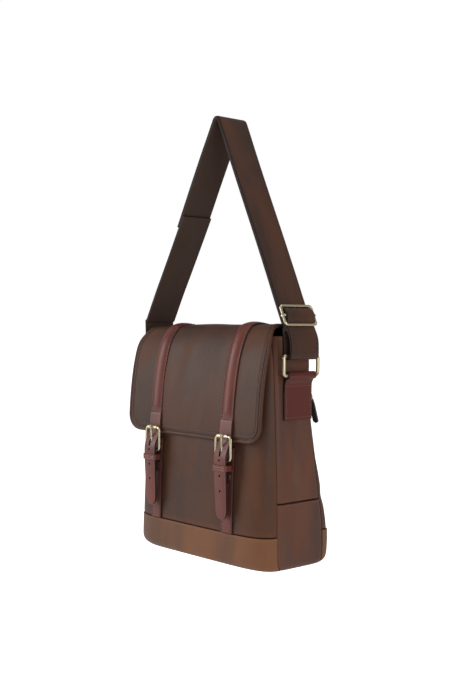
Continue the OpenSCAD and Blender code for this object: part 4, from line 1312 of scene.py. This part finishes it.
def teeth_tree():
    """Two interleaved rows of zip teeth along the incoming wire."""
    tree, made, source, sink = wire_tree("zip_teeth", {"Pitch": 0.0026})
    wires = node(tree, "GeometryNodeMeshToCurve", {"Mesh": source.outputs["Geometry"]})
    dots = node(tree, "GeometryNodeCurveToPoints", {"Curve": wires.outputs["Curve"],
                                                    "Length": source.outputs["Pitch"]}, mode="LENGTH")
    tooth = node(tree, "GeometryNodeMeshCube", {"Size": (0.0014, 0.0016, 0.0036)})
    count = node(tree, "GeometryNodeInputIndex")
    odd = node(tree, "ShaderNodeMath", {0: count.outputs[0], 1: 2.0}, operation="MODULO")
    shift = node(tree, "ShaderNodeMath", {0: odd.outputs[0], 1: 0.0014, 2: -0.0007}, operation="MULTIPLY_ADD")
    move = node(tree, "ShaderNodeCombineXYZ", {"Z": shift.outputs[0]})
    row_of = node(tree, "GeometryNodeInstanceOnPoints", {"Points": dots.outputs["Points"],
                                                         "Instance": tooth.outputs["Mesh"]})
    moved = node(tree, "GeometryNodeTranslateInstances", {"Instances": row_of.outputs["Instances"],
                                                          "Translation": move.outputs[0]})
    real = node(tree, "GeometryNodeRealizeInstances", {"Geometry": moved.outputs[0]})
    painted = node(tree, "GeometryNodeSetMaterial", {"Geometry": real.outputs[0],
                                                     "Material": source.outputs["Material"]})
    tree.links.new(painted.outputs[0], sink.inputs[0])
    return tree, made


def make_zip():
    half = width("rear_zip_tape", Z) / 2
    xs = stops(-ZIP_HALF, ZIP_HALF, 3)
    zs = ZIP_Z - half + 2 * half * spaced(2 * half, 1.5)
    xx, zz = np.meshgrid(xs, zs)
    grid = np.stack([xx, face_y(1, xx, zz, 1.9), zz], -1)
    tape = hide_sheet("zip_tape_cloth", grid, 0.9, edge_r=0.3)
    finish_piece(tape, TAPE, "case", ["rear_zip_tape"])
    tree, ids = teeth_tree()
    line_x = np.linspace(-ZIP_HALF + 4, ZIP_HALF - 3, 120)
    line_z = np.full_like(line_x, ZIP_Z)
    wire = np.stack([line_x, face_y(1, line_x, line_z, 2.4), line_z], -1)
    teeth = run_nodes("zip_teeth", [wire], tree, {ids["Pitch"]: 2.6 * MM, ids["Material"]: TEETH})
    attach(teeth, "case")
    for name, side in (("upper", 1), ("lower", -1)):
        z0, z1 = sorted((ZIP_Z + side * 4.2, ZIP_Z + side * (half + 4.5)))
        welt = face_band(f"zip_welt_{name}", 1, -ZIP_HALF - 3, ZIP_HALF + 3, z0, z1, 1.4, 1.8, 0.0)
        finish_piece(welt, BROWN, "case")
    rows = [on_face(1, np.linspace(-ZIP_HALF, ZIP_HALF, 120), ZIP_Z + k * (half + 1.4), 3.3) for k in (-1, 1)]
    stitches("zip_welt_stitches", rows, "case", DARK_THREAD)


PULLER_TILT, PULLER_L = math.radians(18), 34.0


def make_puller():
    """Black leather puller with a rounded end, leaning out from the slider's bail."""
    x, pivot_y = middle("zip_puller", X), high("zip_slider", Y) - 2.2
    top, bottom = -2.0, -PULLER_L
    z = np.concatenate([np.linspace(bottom, bottom + 4, 9), np.linspace(bottom + 5, top, 12)])
    r = 4.2
    near = np.clip(1 - (z - bottom) / r, 0, 1)
    half = r * np.sqrt(np.maximum(1 - near**2, 0.002)) * (1 - 0.25 * smooth(top - 9, top, z))
    share = np.linspace(-1, 1, 13)
    out = 1.25 - 0.25 * share[None, :] ** 2 + 0 * z[:, None]
    down = np.broadcast_to(z[:, None], out.shape)
    c, d = math.cos(PULLER_TILT), math.sin(PULLER_TILT)
    grid = np.stack([x + share[None, :] * half[:, None], pivot_y + out * c - down * d,
                     ZIP_Z + out * d + down * c], -1)
    piece = hide_sheet("zip_puller_hide", grid, 2.5, edge_r=0.6)
    finish_piece(piece, PULLER, "zip_puller", ["zip_puller"])


# ------------------------------------------------------------------ metal fittings from the frame

def polished(name, body, material):
    """Smooth-shaded copy of a metal fitting, in the same place and of the same size."""
    mesh = frame["nodes"][name].data.copy()
    work = bmesh.new()
    work.from_mesh(mesh)
    bmesh.ops.remove_doubles(work, verts=work.verts, dist=1e-6)
    bmesh.ops.recalc_face_normals(work, faces=work.faces)
    work.to_mesh(mesh)
    work.free()
    mesh.shade_smooth()
    mesh.set_sharp_from_angle(angle=math.radians(38))
    finish_piece(in_scene(name + "_polished", mesh), material, body, [name])


def finish_fittings():
    for name in SIDES:
        polished("ring_" + name, "ring_" + name, BRASS)
        polished("buckle_frame_" + name, "closure_" + name, BRASS)
        polished("roller_" + name, "roller_" + name, BRASS)
        polished("prong_" + name, "prong_" + name, BRASS)
        polished("snap_stud_" + name, "closure_" + name, STEEL)
        polished("snap_socket_" + name, "case", STEEL)
    polished("slider_frame", "slider", BRASS)
    polished("slider_center_bar", "slider", BRASS)
    polished("zip_slider", "zip_slider", BRASS)


# ------------------------------------------------------------------ stage

def area_light(name, place, target, size, power):
    lamp = bpy.data.lights.new(name, "AREA")
    lamp.energy = power
    lamp.size = size
    holder = in_scene(name, lamp)
    holder.location = place
    holder.rotation_euler = (Vector(target) - Vector(place)).to_track_quat("-Z", "Y").to_euler()


AMBIENT = 0.32
LAMPS = (("key", (-1.25, -1.45, 0.25), 1.1, 15), ("side", (1.9, -0.5, 0.1), 1.2, 9),
         ("top", (0.2, 0.1, 1.5), 1.2, 6))


def make_stage():
    floor_z = BASE[2] - 0.12
    mesh = bpy.data.meshes.new("floor")
    size = 14.0
    mesh.from_pydata([(-size, -size, floor_z), (size, -size, floor_z), (size, size, floor_z),
                      (-size, size, floor_z)], [], [(0, 1, 2, 3)])
    floor = in_scene("floor", mesh)
    made, tree, shader = new_material("floor_white")
    shader.inputs["Base Color"].default_value = (0.9, 0.9, 0.9, 1)
    shader.inputs["Roughness"].default_value = 0.9
    shader.inputs["Emission Color"].default_value = (1, 1, 1, 1)
    seen = node(tree, "ShaderNodeLightPath").outputs["Is Camera Ray"]
    tree.links.new(ranged(tree, seen, 0, 1, 0.15, 1.0), shader.inputs["Emission Strength"])
    mesh.materials.append(made)
    world = bpy.data.worlds.new("studio")
    bpy.context.scene.world = world
    world.use_nodes = True
    sky = world.node_tree
    seen = node(sky, "ShaderNodeLightPath").outputs["Is Camera Ray"]
    sky.nodes["Background"].inputs["Color"].default_value = (1, 1, 1, 1)
    sky.links.new(ranged(sky, seen, 0, 1, AMBIENT, 1.0), sky.nodes["Background"].inputs["Strength"])
    middle_point = (0, 0, BASE[2] + 0.2)
    for name, place, lamp_size, power in LAMPS:
        area_light(name, place, middle_point, lamp_size, power)
    bpy.context.scene.view_settings.view_transform = "Standard"
    bpy.context.scene.view_settings.look = "None"


CAMERA_ANGLES = (47.64, 1.35, 0.53)
CAMERA_PLACE = (966.43, -882.92, 289.45)
LENS, SENSOR = 55.02, 36.0


def make_camera():
    """Level view of the front and the right gusset, close to eye height of the bag's middle."""
    azimuth, pitch, roll = map(math.radians, CAMERA_ANGLES)
    level = math.cos(pitch)
    back = Vector((math.sin(azimuth) * level, -math.cos(azimuth) * level, math.sin(pitch)))
    right = Vector((math.cos(azimuth), math.sin(azimuth), 0))
    up = back.cross(right)
    turn = Matrix((right, up, back)).transposed().to_4x4() @ Matrix.Rotation(roll, 4, "Z")
    place = Vector(np.array(CAMERA_PLACE) * MM + BASE)
    data = bpy.data.cameras.new("camera")
    data.lens = LENS
    data.sensor_width = SENSOR
    data.clip_start = 0.01
    camera = in_scene("camera", data)
    camera.matrix_world = Matrix.Translation(place) @ turn
    bpy.context.scene.camera = camera


make_body()
make_base()
make_lining()
make_front_straps()
make_flap()
make_flap_straps()
make_closures()
make_shoulder_strap()
make_strap_loops()
make_slider_hump()
for tab_name, tab_side in SIDES.items():
    make_tab(tab_name, tab_side)
make_zip()
make_puller()
finish_fittings()
make_stage()
make_camera()
